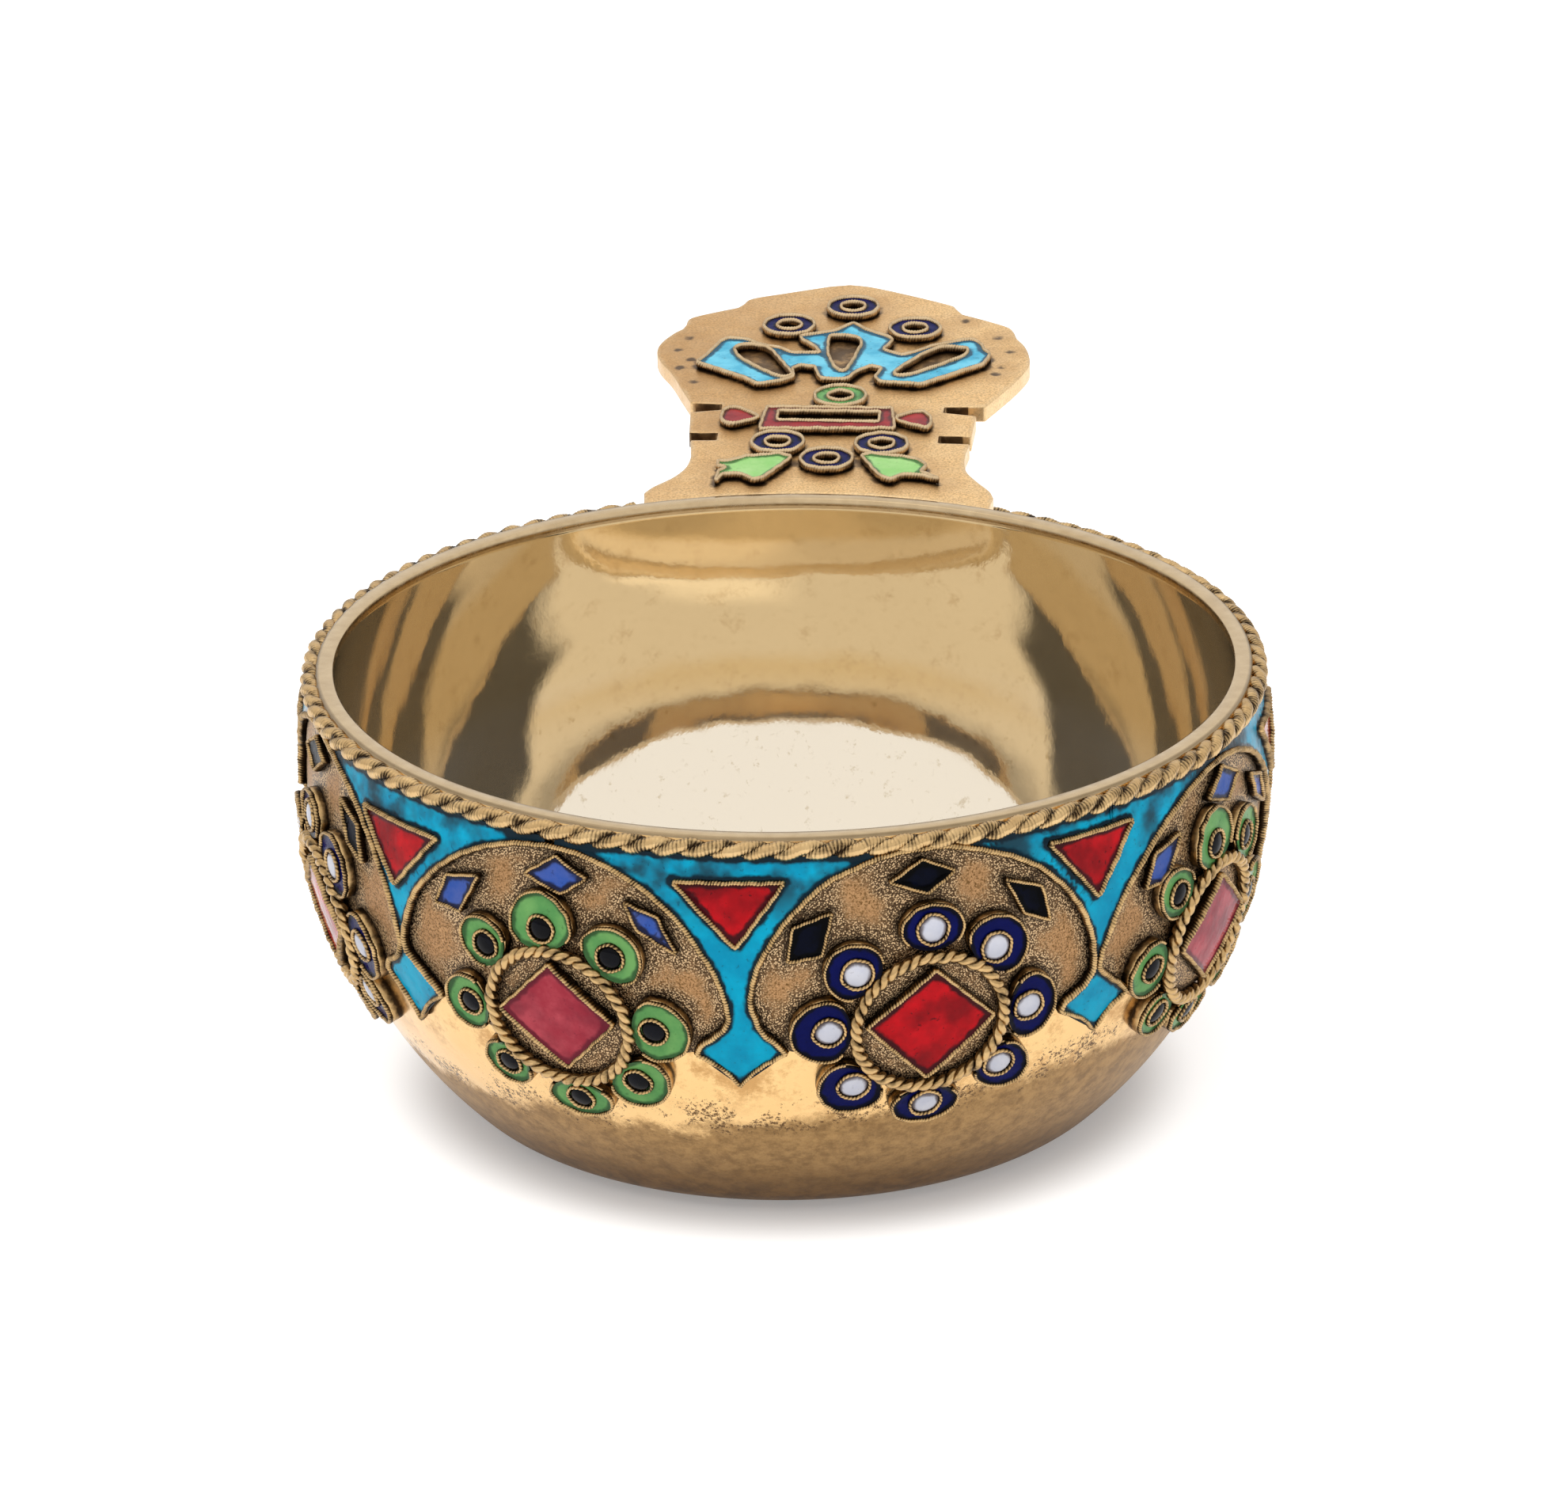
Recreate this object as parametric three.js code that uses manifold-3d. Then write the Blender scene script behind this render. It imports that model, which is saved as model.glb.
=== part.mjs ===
// A charka: a small round drinking bowl of gilt silver with one flat, pierced-edge handle,
// and cells of coloured enamel in twisted wire round the outside and on top of the handle.
// Millimetres, +Z up. The origin is the middle of the flat underside, the handle points to +Y,
// and the front of the bowl faces -Y.

import * as THREE from "three";
import { mergeVertices } from "three/addons/utils/BufferGeometryUtils.js";
import { TessellateModifier } from "three/addons/modifiers/TessellateModifier.js";
import Module from "manifold-3d";

const wasm = await Module();
wasm.setup();

// The clear space that is kept between two neighbouring pieces.
const seatGap = 0.3;

// The bowl: one arc from the rim over the belly and down, a small corner, and a flat foot.
const bowlHeight = 32.6;
const bowlWall = 1.3;
const bellyRadius = 34.1;
const bellyDrop = 7.3;
const footAngle = THREE.MathUtils.degToRad(45.6);
const footCornerRadius = 6;
const rimEdgeDrop = 0.35;
const bowlSides = 64;
const wallSteps = 10;
const cornerSteps = 3;

// The twisted wire that runs round under the rim, from one side of the handle to the other.
const rimRopeDrop = 0.1;
const rimRopeHeight = 1.2;
const rimRopeProud = 0.9;
const rimRopeSteps = 60;
const rimRopeHandleGap = 0.9;

// The flat handle. Its outline is given for one half, from the root to the tip.
const handleReach = 41;
const handleHalfWidth = 14.5;
const handleThickness = 1.3;
const handleTilt = THREE.MathUtils.degToRad(2.8);
const handleEdge = 0.25;
const handleRootShare = 0.89;
const handleFlareShares = [
  [0.89, -0.01],
  [0.87, 0.018],
  [0.783, 0.058],
  [0.722, 0.117],
  [0.714, 0.163],
];
const handleSlotShares = [0.256, 0.398];
const handleSlotMouthShares = [0.728, 0.755];
const handleSlotWidthShare = 0.028;
const handleSlotDepthShare = 0.172;
const handleHeadRootShare = 0.793;
const handleHeadShares = [
  [0.876, 0.485],
  [0.959, 0.575],
  [1, 0.645],
  [0.976, 0.695],
  [0.931, 0.734],
  [0.883, 0.758],
];
const handleShoulderShares = [
  [0.876, 0.79],
  [0.786, 0.82],
  [0.583, 0.878],
];
const handleBrowShares = [
  [0.569, 0.902],
  [0.338, 0.95],
  [0.06, 0.995],
];
const curveSteps = 10;

// The wire and enamel on the handle, laid out in shares of the handle's reach.
const handleWireHeight = 0.75;
const ringShare = 0.052;
const ringHoleShare = 0.018;
const ringShares = {
  top: [0, 0.871],
  left: [-0.12, 0.775],
  right: [0.12, 0.775],
  lower_left: [-0.095, 0.212],
  lower_right: [0.095, 0.212],
};
const greenRingShares = [0, 0.44];
const sprayRingShares = [0, 0.135];

// Half the width, the low edge and the high edge.
const frameShares = [0.122, 0.274, 0.378];
const frameSlotShares = [0.091, 0.309, 0.348];

// A drop or a tear has its tip, the middle of its round end, and that end's radius.
const dropShares = [[0.115, 0.322], [0.182, 0.322], 0.023];
const middleTearShares = [[0, 0.559], [0, 0.675], 0.032];
const sideTearShares = [[0.12, 0.532], [0.205, 0.638], 0.027];
const crownPeakShares = [0, 0.779];
const crownShares = [
  [0.039, 0.74],
  [0.08, 0.722],
  [0.093, 0.708],
  [0.071, 0.667],
  [0.073, 0.642],
  [0.122, 0.637],
  [0.151, 0.671],
  [0.19, 0.693],
  [0.234, 0.698],
  [0.249, 0.666],
  [0.268, 0.635],
  [0.271, 0.593],
  [0.141, 0.459],
  [0.083, 0.481],
  [0.083, 0.566],
  [0.05, 0.568],
  [0.052, 0.534],
  [0.037, 0.5],
];
const leafShares = [
  [0.038, 0.145],
  [0.063, 0.112],
  [0.132, 0.02],
  [0.154, 0.054],
  [0.212, 0.027],
  [0.18, 0.093],
  [0.19, 0.12],
  [0.176, 0.137],
  [0.1, 0.152],
];
const ringSides = 18;
const tearSides = 9;

// The wall ornament: medallions between pointed fields of enamel, repeated round the bowl.
const medallionCount = 8;
const ornamentTurn = THREE.MathUtils.degToRad(-1.3);
const archRise = 10.2;
const archSpread = 0.84;
const medallionDrop = 1.9;
const archWireWidth = 0.4;
const archWireProud = 0.7;
const archSteps = 14;
const legSteps = 4;
const flowerSpread = 3.1;
const diamondRoom = 2.6;
const medallionRopeShare = 0.563;
const medallionRopeThickness = 1.05;
const medallionRopeSides = 6;
const medallionRopeSteps = 20;
const petalCount = 8;
const petalShare = 0.252;
const petalWeb = 0.6;
const petalProud = 1;
const petalSides = 12;
const panelProud = 1;
const diamondHalfLength = 2.4;
const diamondAngles = [-45, 0, 45].map(THREE.MathUtils.degToRad);
const spearHalfWidth = 2.9;
const spearDrop = 4.2;
const spearTipDrop = 6.8;
const spandrelProud = 0.5;
const triangleHalfWidth = 4.3;
const triangleDrop = 1.1;
const triangleHeight = 5;
const triangleProud = 0.75;
const longestFlatEdge = 5;
const mostFolds = 16;

// The overrun of a cutting tool past the faces that it cuts.
const overrun = 1;

const finishes = {
  gilt: { color: 0xd9b877, roughness: 0.28, metalness: 1 },
  rope: { color: 0xb0905a, roughness: 0.42, metalness: 1 },
  handle: { color: 0xd2a970, roughness: 0.4, metalness: 1 },
  navy: { color: 0x18186a, roughness: 0.2, metalness: 0 },
  green: { color: 0x5faa5f, roughness: 0.2, metalness: 0 },
  leaf: { color: 0x84d67e, roughness: 0.2, metalness: 0 },
  red: { color: 0xc01f26, roughness: 0.15, metalness: 0 },
  rose: { color: 0xc04a5c, roughness: 0.2, metalness: 0 },
  turquoise: { color: 0x0aa3c8, roughness: 0.2, metalness: 0 },
  sky: { color: 0x55b8d6, roughness: 0.25, metalness: 0 },
};

// Booleans on closed geometries, by way of manifold solids.

function solidOf(geometry) {
  const bare = geometry.clone();
  bare.deleteAttribute("normal");
  bare.deleteAttribute("uv");
  const merged = mergeVertices(bare);
  return new wasm.Manifold(
    new wasm.Mesh({
      numProp: 3,
      vertProperties: merged.attributes.position.array,
      triVerts: new Uint32Array(merged.index.array),
    }),
  );
}

function geometryOf(solid) {
  const mesh = solid.getMesh();
  const geometry = new THREE.BufferGeometry();
  geometry.setAttribute("position", new THREE.BufferAttribute(mesh.vertProperties, 3));
  geometry.setIndex(new THREE.BufferAttribute(mesh.triVerts, 1));
  return geometry;
}

function join(geometries) {
  const solids = geometries.map(solidOf);
  return geometryOf(solids.reduce((whole, solid) => whole.add(solid)));
}

function cut(geometry, tool) {
  return geometryOf(solidOf(geometry).subtract(solidOf(tool)));
}

// The bowl's wall. Its outer face is an arc from the rim to the foot corner, and a depth is a
// length along that face, down from the rim.

const rimToCorner = bowlHeight - bellyDrop - footCornerRadius * (1 - Math.sin(footAngle));
const wallArcRadius = rimToCorner / Math.sin(footAngle);
const wallArcCentre = bellyRadius - wallArcRadius;
const rimAngle = Math.asin(bellyDrop / wallArcRadius);
const cornerDepth = wallArcRadius * (rimAngle + footAngle);
const footRadius =
  wallArcCentre + (wallArcRadius - footCornerRadius) * Math.cos(footAngle);
const rimRadius = wallArcCentre + wallArcRadius * Math.cos(rimAngle);

// A point of the wall's section at a depth, standing proud of the outer face.
function sectionPoint(depth, proud) {
  if (depth <= cornerDepth) {
    const angle = depth / wallArcRadius - rimAngle;
    const reach = wallArcRadius + proud;
    return new THREE.Vector2(
      wallArcCentre + reach * Math.cos(angle),
      bowlHeight - bellyDrop - reach * Math.sin(angle),
    );
  }
  const angle = footAngle + (depth - cornerDepth) / footCornerRadius;
  const reach = footCornerRadius + proud;
  return new THREE.Vector2(
    footRadius + reach * Math.cos(angle),
    footCornerRadius - reach * Math.sin(angle),
  );
}

// A point of the wall at an angle from the front, growing towards +X.
function wallPoint(angle, depth, proud) {
  const section = sectionPoint(depth, proud);
  return new THREE.Vector3(
    section.x * Math.sin(angle),
    -section.x * Math.cos(angle),
    section.y,
  );
}

// Bends a flat geometry onto the wall: x runs to the right, y up, and z outwards from the seat.
function layOnWall(flat, centreAngle, centreDepth) {
  const fine = new TessellateModifier(longestFlatEdge, mostFolds).modify(flat);
  const position = fine.attributes.position;
  for (let i = 0; i < position.count; i += 1) {
    const depth = centreDepth - position.getY(i);
    const angle = centreAngle + position.getX(i) / sectionPoint(depth, 0).x;
    const point = wallPoint(angle, depth, seatGap + position.getZ(i));
    position.setXYZ(i, point.x, point.y, point.z);
  }
  return fine;
}

function extrude(shape, height) {
  return new THREE.ExtrudeGeometry(shape, {
    depth: height,
    bevelEnabled: false,
    curveSegments: tearSides,
  });
}

// The bowl itself, turned from one profile: foot, outer wall, rim, inner wall and floor.
function bowlGeometry() {
  const outer = [];
  const inner = [];
  for (let i = 0; i <= cornerSteps; i += 1) {
    const depth = cornerDepth + ((Math.PI / 2 - footAngle) * footCornerRadius * i) / cornerSteps;
    outer.unshift(sectionPoint(depth, 0));
    inner.unshift(sectionPoint(depth, -bowlWall));
  }
  for (let i = wallSteps - 1; i >= 0; i -= 1) {
    const depth = rimEdgeDrop + ((cornerDepth - rimEdgeDrop) * i) / wallSteps;
    outer.push(sectionPoint(depth, 0));
    inner.push(sectionPoint(depth, -bowlWall));
  }
  const rim = [
    new THREE.Vector2(rimRadius - rimEdgeDrop, bowlHeight),
    new THREE.Vector2(rimRadius - bowlWall + rimEdgeDrop, bowlHeight),
  ];
  const foot = new THREE.Vector2(0, 0);
  const floor = new THREE.Vector2(0, bowlWall);
  const profile = [foot, ...outer, ...rim, ...inner.reverse(), floor];
  return new THREE.LatheGeometry(profile, bowlSides).rotateX(Math.PI / 2);
}

// The middle line of the rim's twisted wire, from the handle's right side round the front.
class RimLine extends THREE.Curve {
  getPoint(share, target = new THREE.Vector3()) {
    const half = handleHalfWidth * handleRootShare + rimRopeHandleGap;
    const openAngle = Math.asin(half / (rimRadius + rimRopeProud));
    const angle = (Math.PI - openAngle) * (1 - 2 * share);
    const depth = rimRopeDrop + rimRopeHeight / 2;
    return target.copy(wallPoint(angle, depth, (seatGap + rimRopeProud) / 2));
  }
}

// An oblong with cut corners, as the section of the twisted wire.
function ropeSection() {
  const halfHigh = rimRopeHeight / 2;
  const halfWide = (rimRopeProud - seatGap) / 2;
  const corner = halfWide / 2;
  return new THREE.Shape(
    [
      [halfHigh, halfWide - corner],
      [halfHigh - corner, halfWide],
      [corner - halfHigh, halfWide],
      [-halfHigh, halfWide - corner],
      [-halfHigh, corner - halfWide],
      [corner - halfHigh, -halfWide],
      [halfHigh - corner, -halfWide],
      [halfHigh, corner - halfWide],
    ].map(([x, y]) => new THREE.Vector2(x, y)),
  );
}

function rimRopeGeometry() {
  return new THREE.ExtrudeGeometry(ropeSection(), {
    steps: rimRopeSteps,
    extrudePath: new RimLine(),
  });
}

// The medallions. Each is laid out flat round its own middle, x to the right and y up.

const ornamentTop = Math.max(rimRopeDrop + rimRopeHeight, handleThickness) + seatGap;
const neckDepth = ornamentTop + archWireWidth / 2 + archRise;
const medallionDepth = neckDepth + medallionDrop;

function halfPitch(depth) {
  return (Math.PI / medallionCount) * sectionPoint(depth, 0).x;
}

const archHalfWidth = halfPitch(neckDepth) - archSpread;
const flowerRadius = Math.min(
  archHalfWidth - flowerSpread,
  archRise + medallionDrop - diamondRoom,
);
const medallionRopeRadius = flowerRadius * medallionRopeShare;
const medallionRopeOuter = medallionRopeRadius + medallionRopeThickness / 2;
const petalRadius = flowerRadius * petalShare;
const petalCircle = flowerRadius - petalRadius;

// The wire that borders a medallion's ground: half an ellipse, and two legs that turn in below.
function archLine(sideways) {
  const width = archHalfWidth + sideways;
  const rise = archRise + sideways;
  const legEnd = new THREE.Vector2(
    halfPitch(neckDepth + spearDrop) - spearHalfWidth + sideways / 2,
    medallionDrop - spearDrop - sideways / 2,
  );
  const leg = new THREE.QuadraticBezierCurve(
    legEnd,
    new THREE.Vector2(width, medallionDrop - spearDrop / 2),
    new THREE.Vector2(width, medallionDrop),
  );
  const right = leg.getPoints(legSteps).slice(0, -1);
  const arch = new THREE.EllipseCurve(0, medallionDrop, width, rise, 0, Math.PI);
  const left = right.map((point) => new THREE.Vector2(-point.x, point.y)).reverse();
  return [...right, ...arch.getPoints(archSteps), ...left];
}

function diamondShape(angle) {
  const inner = flowerRadius + seatGap;
  const along = new THREE.Vector2(Math.sin(angle), Math.cos(angle));
  const across = new THREE.Vector2(along.y, -along.x);
  const width = archHalfWidth * along.x;
  const rise = archRise * along.y;
  const outer = Math.hypot(width, rise) + medallionDrop * along.y;
  const middle = (inner + outer) / 2;
  const corner = (reach, aside) =>
    along.clone().multiplyScalar(reach).addScaledVector(across, aside);
  return new THREE.Shape([
    corner(inner, 0),
    corner(middle, diamondHalfLength),
    corner(outer, 0),
    corner(middle, -diamondHalfLength),
  ]);
}

// The arch wire with its three diamonds, whose outer corners are soldered to it.
function archWireGeometry() {
  const outline = [...archLine(archWireWidth / 2), ...archLine(-archWireWidth / 2).reverse()];
  const height = archWireProud - seatGap;
  const band = extrude(new THREE.Shape(outline), height);
  return join([band, ...diamondAngles.map((angle) => extrude(diamondShape(angle), height))]);
}

// Eight round-ended petals on a narrow web that runs round the medallion's twisted wire.
function petalsGeometry() {
  const height = petalProud - seatGap;
  const hole = medallionRopeOuter + seatGap;
  const disc = (radius, sides) =>
    new THREE.CylinderGeometry(radius, radius, height, sides)
      .rotateX(Math.PI / 2)
      .translate(0, 0, height / 2);
  const web = disc(hole + petalWeb, petalCount * 3);
  const petals = [];
  for (let i = 0; i < petalCount; i += 1) {
    const angle = (2 * Math.PI * i) / petalCount;
    const petal = disc(petalRadius, petalSides);
    petals.push(petal.translate(petalCircle * Math.sin(angle), petalCircle * Math.cos(angle), 0));
  }
  const bore = new THREE.CylinderGeometry(hole, hole, height + 2 * overrun, petalCount * 3)
    .rotateX(Math.PI / 2)
    .translate(0, 0, height / 2);
  return cut(join([web, ...petals]), bore);
}

function medallionRopeGeometry() {
  const tube = medallionRopeThickness / 2;
  return new THREE.TorusGeometry(
    medallionRopeRadius,
    tube,
    medallionRopeSides,
    medallionRopeSteps,
  ).translate(0, 0, tube);
}

// The framed panel of enamel in the middle stands on its corner.
function panelGeometry() {
  const half = medallionRopeRadius - medallionRopeThickness / 2 - seatGap;
  const corners = [
    [0, -half],
    [half, 0],
    [0, half],
    [-half, 0],
  ];
  const shape = new THREE.Shape(corners.map(([x, y]) => new THREE.Vector2(x, y)));
  return extrude(shape, panelProud - seatGap);
}

// The fields between the medallions, laid out flat round the middle of the neck.

function triangleShape(grown) {
  const top = neckDepth - ornamentTop - triangleDrop;
  const half = triangleHalfWidth + 2 * grown;
  return new THREE.Shape([
    new THREE.Vector2(0, top - triangleHeight - 2 * grown),
    new THREE.Vector2(half, top + grown),
    new THREE.Vector2(-half, top + grown),
  ]);
}

// One side of the field follows the arch wire of the medallion beside it, and ends in a spear.
function spandrelShape() {
  const clear = archWireWidth / 2 + seatGap;
  const top = neckDepth - ornamentTop;
  const spearCorner = -(spearDrop + clear);
  const side = [new THREE.Vector2(spearHalfWidth, spearCorner)];
  for (const point of archLine(clear)) {
    const height = point.y - medallionDrop;
    const inField = height > spearCorner + clear && height < top && point.x > 0;
    if (inField) {
      side.push(new THREE.Vector2(halfPitch(neckDepth - height) - point.x, height));
    }
  }
  const rise = archRise + clear;
  const width = (archHalfWidth + clear) * Math.sqrt(1 - (top / rise) ** 2);
  side.push(new THREE.Vector2(halfPitch(neckDepth - top) - width, top));
  const tip = new THREE.Vector2(0, -spearTipDrop);
  const other = side.map((point) => new THREE.Vector2(-point.x, point.y)).reverse();
  return new THREE.Shape([tip, ...side, ...other]);
}

function spandrelGeometry() {
  const height = spandrelProud - seatGap;
  const field = extrude(spandrelShape(), height);
  const opening = extrude(triangleShape(seatGap), height + 2 * overrun);
  return cut(field, opening.translate(0, 0, -overrun));
}

function triangleGeometry() {
  return extrude(triangleShape(0), triangleProud - seatGap);
}

// The handle, laid out flat from the rim outwards: x across, y out, z up from its top face.

function handlePoints(shares) {
  return shares.map(
    ([across, out]) => new THREE.Vector2(across * handleHalfWidth, out * handleReach),
  );
}

function smooth(points) {
  return new THREE.SplineCurve(points).getPoints(curveSteps);
}

// A slot sawn square into the side of the neck, whose mouth is wide at one end and at the other.
function slotPoints(share, mouthShare, endMouthShare) {
  const low = share - handleSlotWidthShare / 2;
  const high = share + handleSlotWidthShare / 2;
  const bottom = mouthShare - handleSlotDepthShare;
  return handlePoints([
    [mouthShare, low],
    [bottom, low],
    [bottom, high],
    [endMouthShare, high],
  ]);
}

// The right side of the outline, from the root to the tip.
function handleSide() {
  const [lowMouth, highMouth] = handleSlotMouthShares;
  const headSlot = slotPoints(handleSlotShares[1], highMouth, handleHeadRootShare);
  const headRoot = headSlot.pop();
  return [
    ...smooth(handlePoints(handleFlareShares)),
    ...slotPoints(handleSlotShares[0], lowMouth, lowMouth),
    ...headSlot,
    ...smooth([headRoot, ...handlePoints(handleHeadShares)]),
    ...handlePoints(handleShoulderShares),
    ...handlePoints(handleBrowShares),
  ];
}

function handleGeometry() {
  const rootRadius = sectionPoint(handleThickness, 0).x + seatGap;
  const rootHalf = handleHalfWidth * handleRootShare;
  const rootAngle = Math.acos(rootHalf / rootRadius);
  const right = handleSide();
  const left = right.map((point) => new THREE.Vector2(-point.x, point.y)).reverse();
  const root = new THREE.EllipseCurve(
    0,
    -rimRadius,
    rootRadius,
    rootRadius,
    Math.PI - rootAngle,
    rootAngle,
    true,
  ).getPoints(curveSteps);
  return new THREE.ExtrudeGeometry(new THREE.Shape([...right, ...left, ...root]), {
    depth: handleThickness - 2 * handleEdge,
    bevelThickness: handleEdge,
    bevelSize: handleEdge,
    bevelOffset: -handleEdge,
    bevelSegments: 1,
  }).translate(0, 0, handleEdge - handleThickness);
}

// The pieces of wire and enamel on the handle.

function reachPoint([across, out], side = 1) {
  return new THREE.Vector2(side * across * handleReach, out * handleReach);
}

function circleAt(centre, radius, sides) {
  const points = [];
  for (let i = 0; i < sides; i += 1) {
    const angle = (2 * Math.PI * i) / sides;
    points.push(
      new THREE.Vector2(centre.x + radius * Math.cos(angle), centre.y + radius * Math.sin(angle)),
    );
  }
  return points;
}

function ringShape(shares) {
  const centre = reachPoint(shares);
  const shape = new THREE.Shape(circleAt(centre, ringShare * handleReach, ringSides));
  shape.holes.push(new THREE.Path(circleAt(centre, ringHoleShare * handleReach, ringSides)));
  return shape;
}

// A drop with a point: the point, and the far side of a circle from one tangent to the other.
function tearPoints([tipShares, middleShares, radiusShare], side = 1) {
  const tip = reachPoint(tipShares, side);
  const middle = reachPoint(middleShares, side);
  const radius = radiusShare * handleReach;
  const away = middle.clone().sub(tip);
  const spread = Math.PI / 2 + Math.asin(radius / away.length());
  const points = [tip];
  for (let i = 0; i <= tearSides; i += 1) {
    const angle = away.angle() + spread * ((2 * i) / tearSides - 1);
    points.push(
      new THREE.Vector2(middle.x + radius * Math.cos(angle), middle.y + radius * Math.sin(angle)),
    );
  }
  return points;
}

function handleTrim(shape) {
  return extrude(shape, handleWireHeight - seatGap).translate(0, 0, seatGap);
}

function crownGeometry() {
  const right = crownShares.map((share) => reachPoint(share));
  const left = crownShares.map((share) => reachPoint(share, -1)).reverse();
  const shape = new THREE.Shape([reachPoint(crownPeakShares), ...right, ...left]);
  shape.holes.push(
    new THREE.Path(tearPoints(middleTearShares)),
    new THREE.Path(tearPoints(sideTearShares)),
    new THREE.Path(tearPoints(sideTearShares, -1)),
  );
  return handleTrim(shape);
}

function oblong([half, low, high]) {
  return [
    reachPoint([half, low], -1),
    reachPoint([half, low]),
    reachPoint([half, high]),
    reachPoint([half, high], -1),
  ];
}

// The oblong frame, with a drop soldered by its point to each end.
function frameGeometry() {
  const shape = new THREE.Shape(oblong(frameShares));
  shape.holes.push(new THREE.Path(oblong(frameSlotShares)));
  const drop = (side) => handleTrim(new THREE.Shape(tearPoints(dropShares, side)));
  return join([handleTrim(shape), drop(1), drop(-1)]);
}

// The lowest ring, with a fishtail leaf soldered to each side.
function sprayGeometry() {
  const leaf = (side) => {
    const points = leafShares.map((share) => reachPoint(share, side));
    return new THREE.Shape(side > 0 ? points : points.reverse());
  };
  return join([handleTrim(ringShape(sprayRingShares)), handleTrim(leaf(1)), handleTrim(leaf(-1))]);
}

// The assembly.

const charka = new THREE.Group();
charka.name = "charka";

const handle = new THREE.Group();
handle.position.set(0, rimRadius, bowlHeight);
handle.rotation.x = handleTilt;
charka.add(handle);

function add(parent, name, finish, geometry) {
  const mesh = new THREE.Mesh(geometry, new THREE.MeshStandardMaterial(finishes[finish]));
  mesh.name = name;
  parent.add(mesh);
}

add(charka, "bowl_body", "gilt", bowlGeometry());
add(charka, "rim_rope", "rope", rimRopeGeometry());

for (let i = 0; i < medallionCount; i += 1) {
  const middle = ornamentTurn + (2 * Math.PI * (i + 1 / 2)) / medallionCount;
  const between = ornamentTurn + (2 * Math.PI * i) / medallionCount;
  const even = i % 2 === 0;
  const onMedallion = (flat) => layOnWall(flat, middle, medallionDepth);
  const onField = (flat) => layOnWall(flat, between, neckDepth);
  add(charka, `arch_wire_${i + 1}`, "rope", onMedallion(archWireGeometry()));
  add(charka, `petals_${i + 1}`, even ? "navy" : "green", onMedallion(petalsGeometry()));
  add(charka, `medallion_rope_${i + 1}`, "rope", onMedallion(medallionRopeGeometry()));
  add(charka, `red_panel_${i + 1}`, even ? "red" : "rose", onMedallion(panelGeometry()));
  add(charka, `spandrel_${i + 1}`, "turquoise", onField(spandrelGeometry()));
  add(charka, `red_triangle_${i + 1}`, "red", onField(triangleGeometry()));
}

add(handle, "handle_plate", "handle", handleGeometry());
add(handle, "handle_crown", "sky", crownGeometry());
add(handle, "handle_red_frame", "red", frameGeometry());
add(handle, "handle_leaf_spray", "leaf", sprayGeometry());
add(handle, "handle_ring_green", "green", handleTrim(ringShape(greenRingShares)));
for (const [place, shares] of Object.entries(ringShares)) {
  add(handle, `handle_ring_${place}`, "navy", handleTrim(ringShape(shares)));
}

export default charka;
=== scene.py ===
import math

import bmesh
import bpy
import numpy as np
from mathutils import Matrix, Vector


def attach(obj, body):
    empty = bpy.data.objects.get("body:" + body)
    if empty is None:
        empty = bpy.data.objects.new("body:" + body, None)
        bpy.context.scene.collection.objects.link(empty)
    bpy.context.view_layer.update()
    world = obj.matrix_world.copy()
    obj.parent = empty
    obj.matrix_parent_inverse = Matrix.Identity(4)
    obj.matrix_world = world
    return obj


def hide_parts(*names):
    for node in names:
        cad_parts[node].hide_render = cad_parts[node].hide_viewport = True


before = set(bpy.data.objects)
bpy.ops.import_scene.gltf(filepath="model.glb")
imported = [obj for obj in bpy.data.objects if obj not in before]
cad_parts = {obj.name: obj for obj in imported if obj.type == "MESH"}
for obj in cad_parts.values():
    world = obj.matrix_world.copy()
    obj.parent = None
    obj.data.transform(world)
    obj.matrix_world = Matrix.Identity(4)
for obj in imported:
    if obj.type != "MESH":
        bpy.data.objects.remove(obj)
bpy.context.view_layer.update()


# The camera: a long lens in front of the bowl, above its rim and a little to its right. Its
# place was worked out from the ellipses of the rim and the foot and from the handle.

azimuth, elevation = math.radians(4.42), math.radians(21.6)
distance, aim_height = 0.64, 0.0326
roll, pan, tilt = math.radians(0.73), math.radians(0.0014), math.radians(0.543)
sensor_width, focal_pixels, photo_width_pixels = 36, 11369, 1981


def new_object(name, data):
    made = bpy.data.objects.new(name, data)
    bpy.context.scene.collection.objects.link(made)
    return made


back = Vector((
    math.sin(azimuth) * math.cos(elevation),
    -math.cos(azimuth) * math.cos(elevation),
    math.sin(elevation),
))
right = Vector((math.cos(azimuth), math.sin(azimuth), 0))
turned = (
    Matrix.Rotation(tilt, 3, "X")
    @ Matrix.Rotation(pan, 3, "Y")
    @ Matrix.Rotation(roll, 3, "Z")
    @ Matrix((right, back.cross(right), back))
)
camera = new_object("camera", bpy.data.cameras.new("camera"))
camera.data.sensor_width = sensor_width
camera.data.lens = sensor_width * focal_pixels / photo_width_pixels
camera.data.clip_start = 0.01
camera.matrix_world = (
    Matrix.Translation(Vector((0, 0, aim_height)) + back * distance) @ turned.transposed().to_4x4()
)
bpy.context.scene.camera = camera
bpy.context.scene.view_settings.view_transform = "Standard"


# The stage: a white table, a large soft lamp high in front, and plain light from all round.
# Polished metal mirrors a brighter studio. What it mirrors twice has a dark patch low in front,
# which is the room behind the camera, and what it mirrors three times has dimmer sides.

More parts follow.
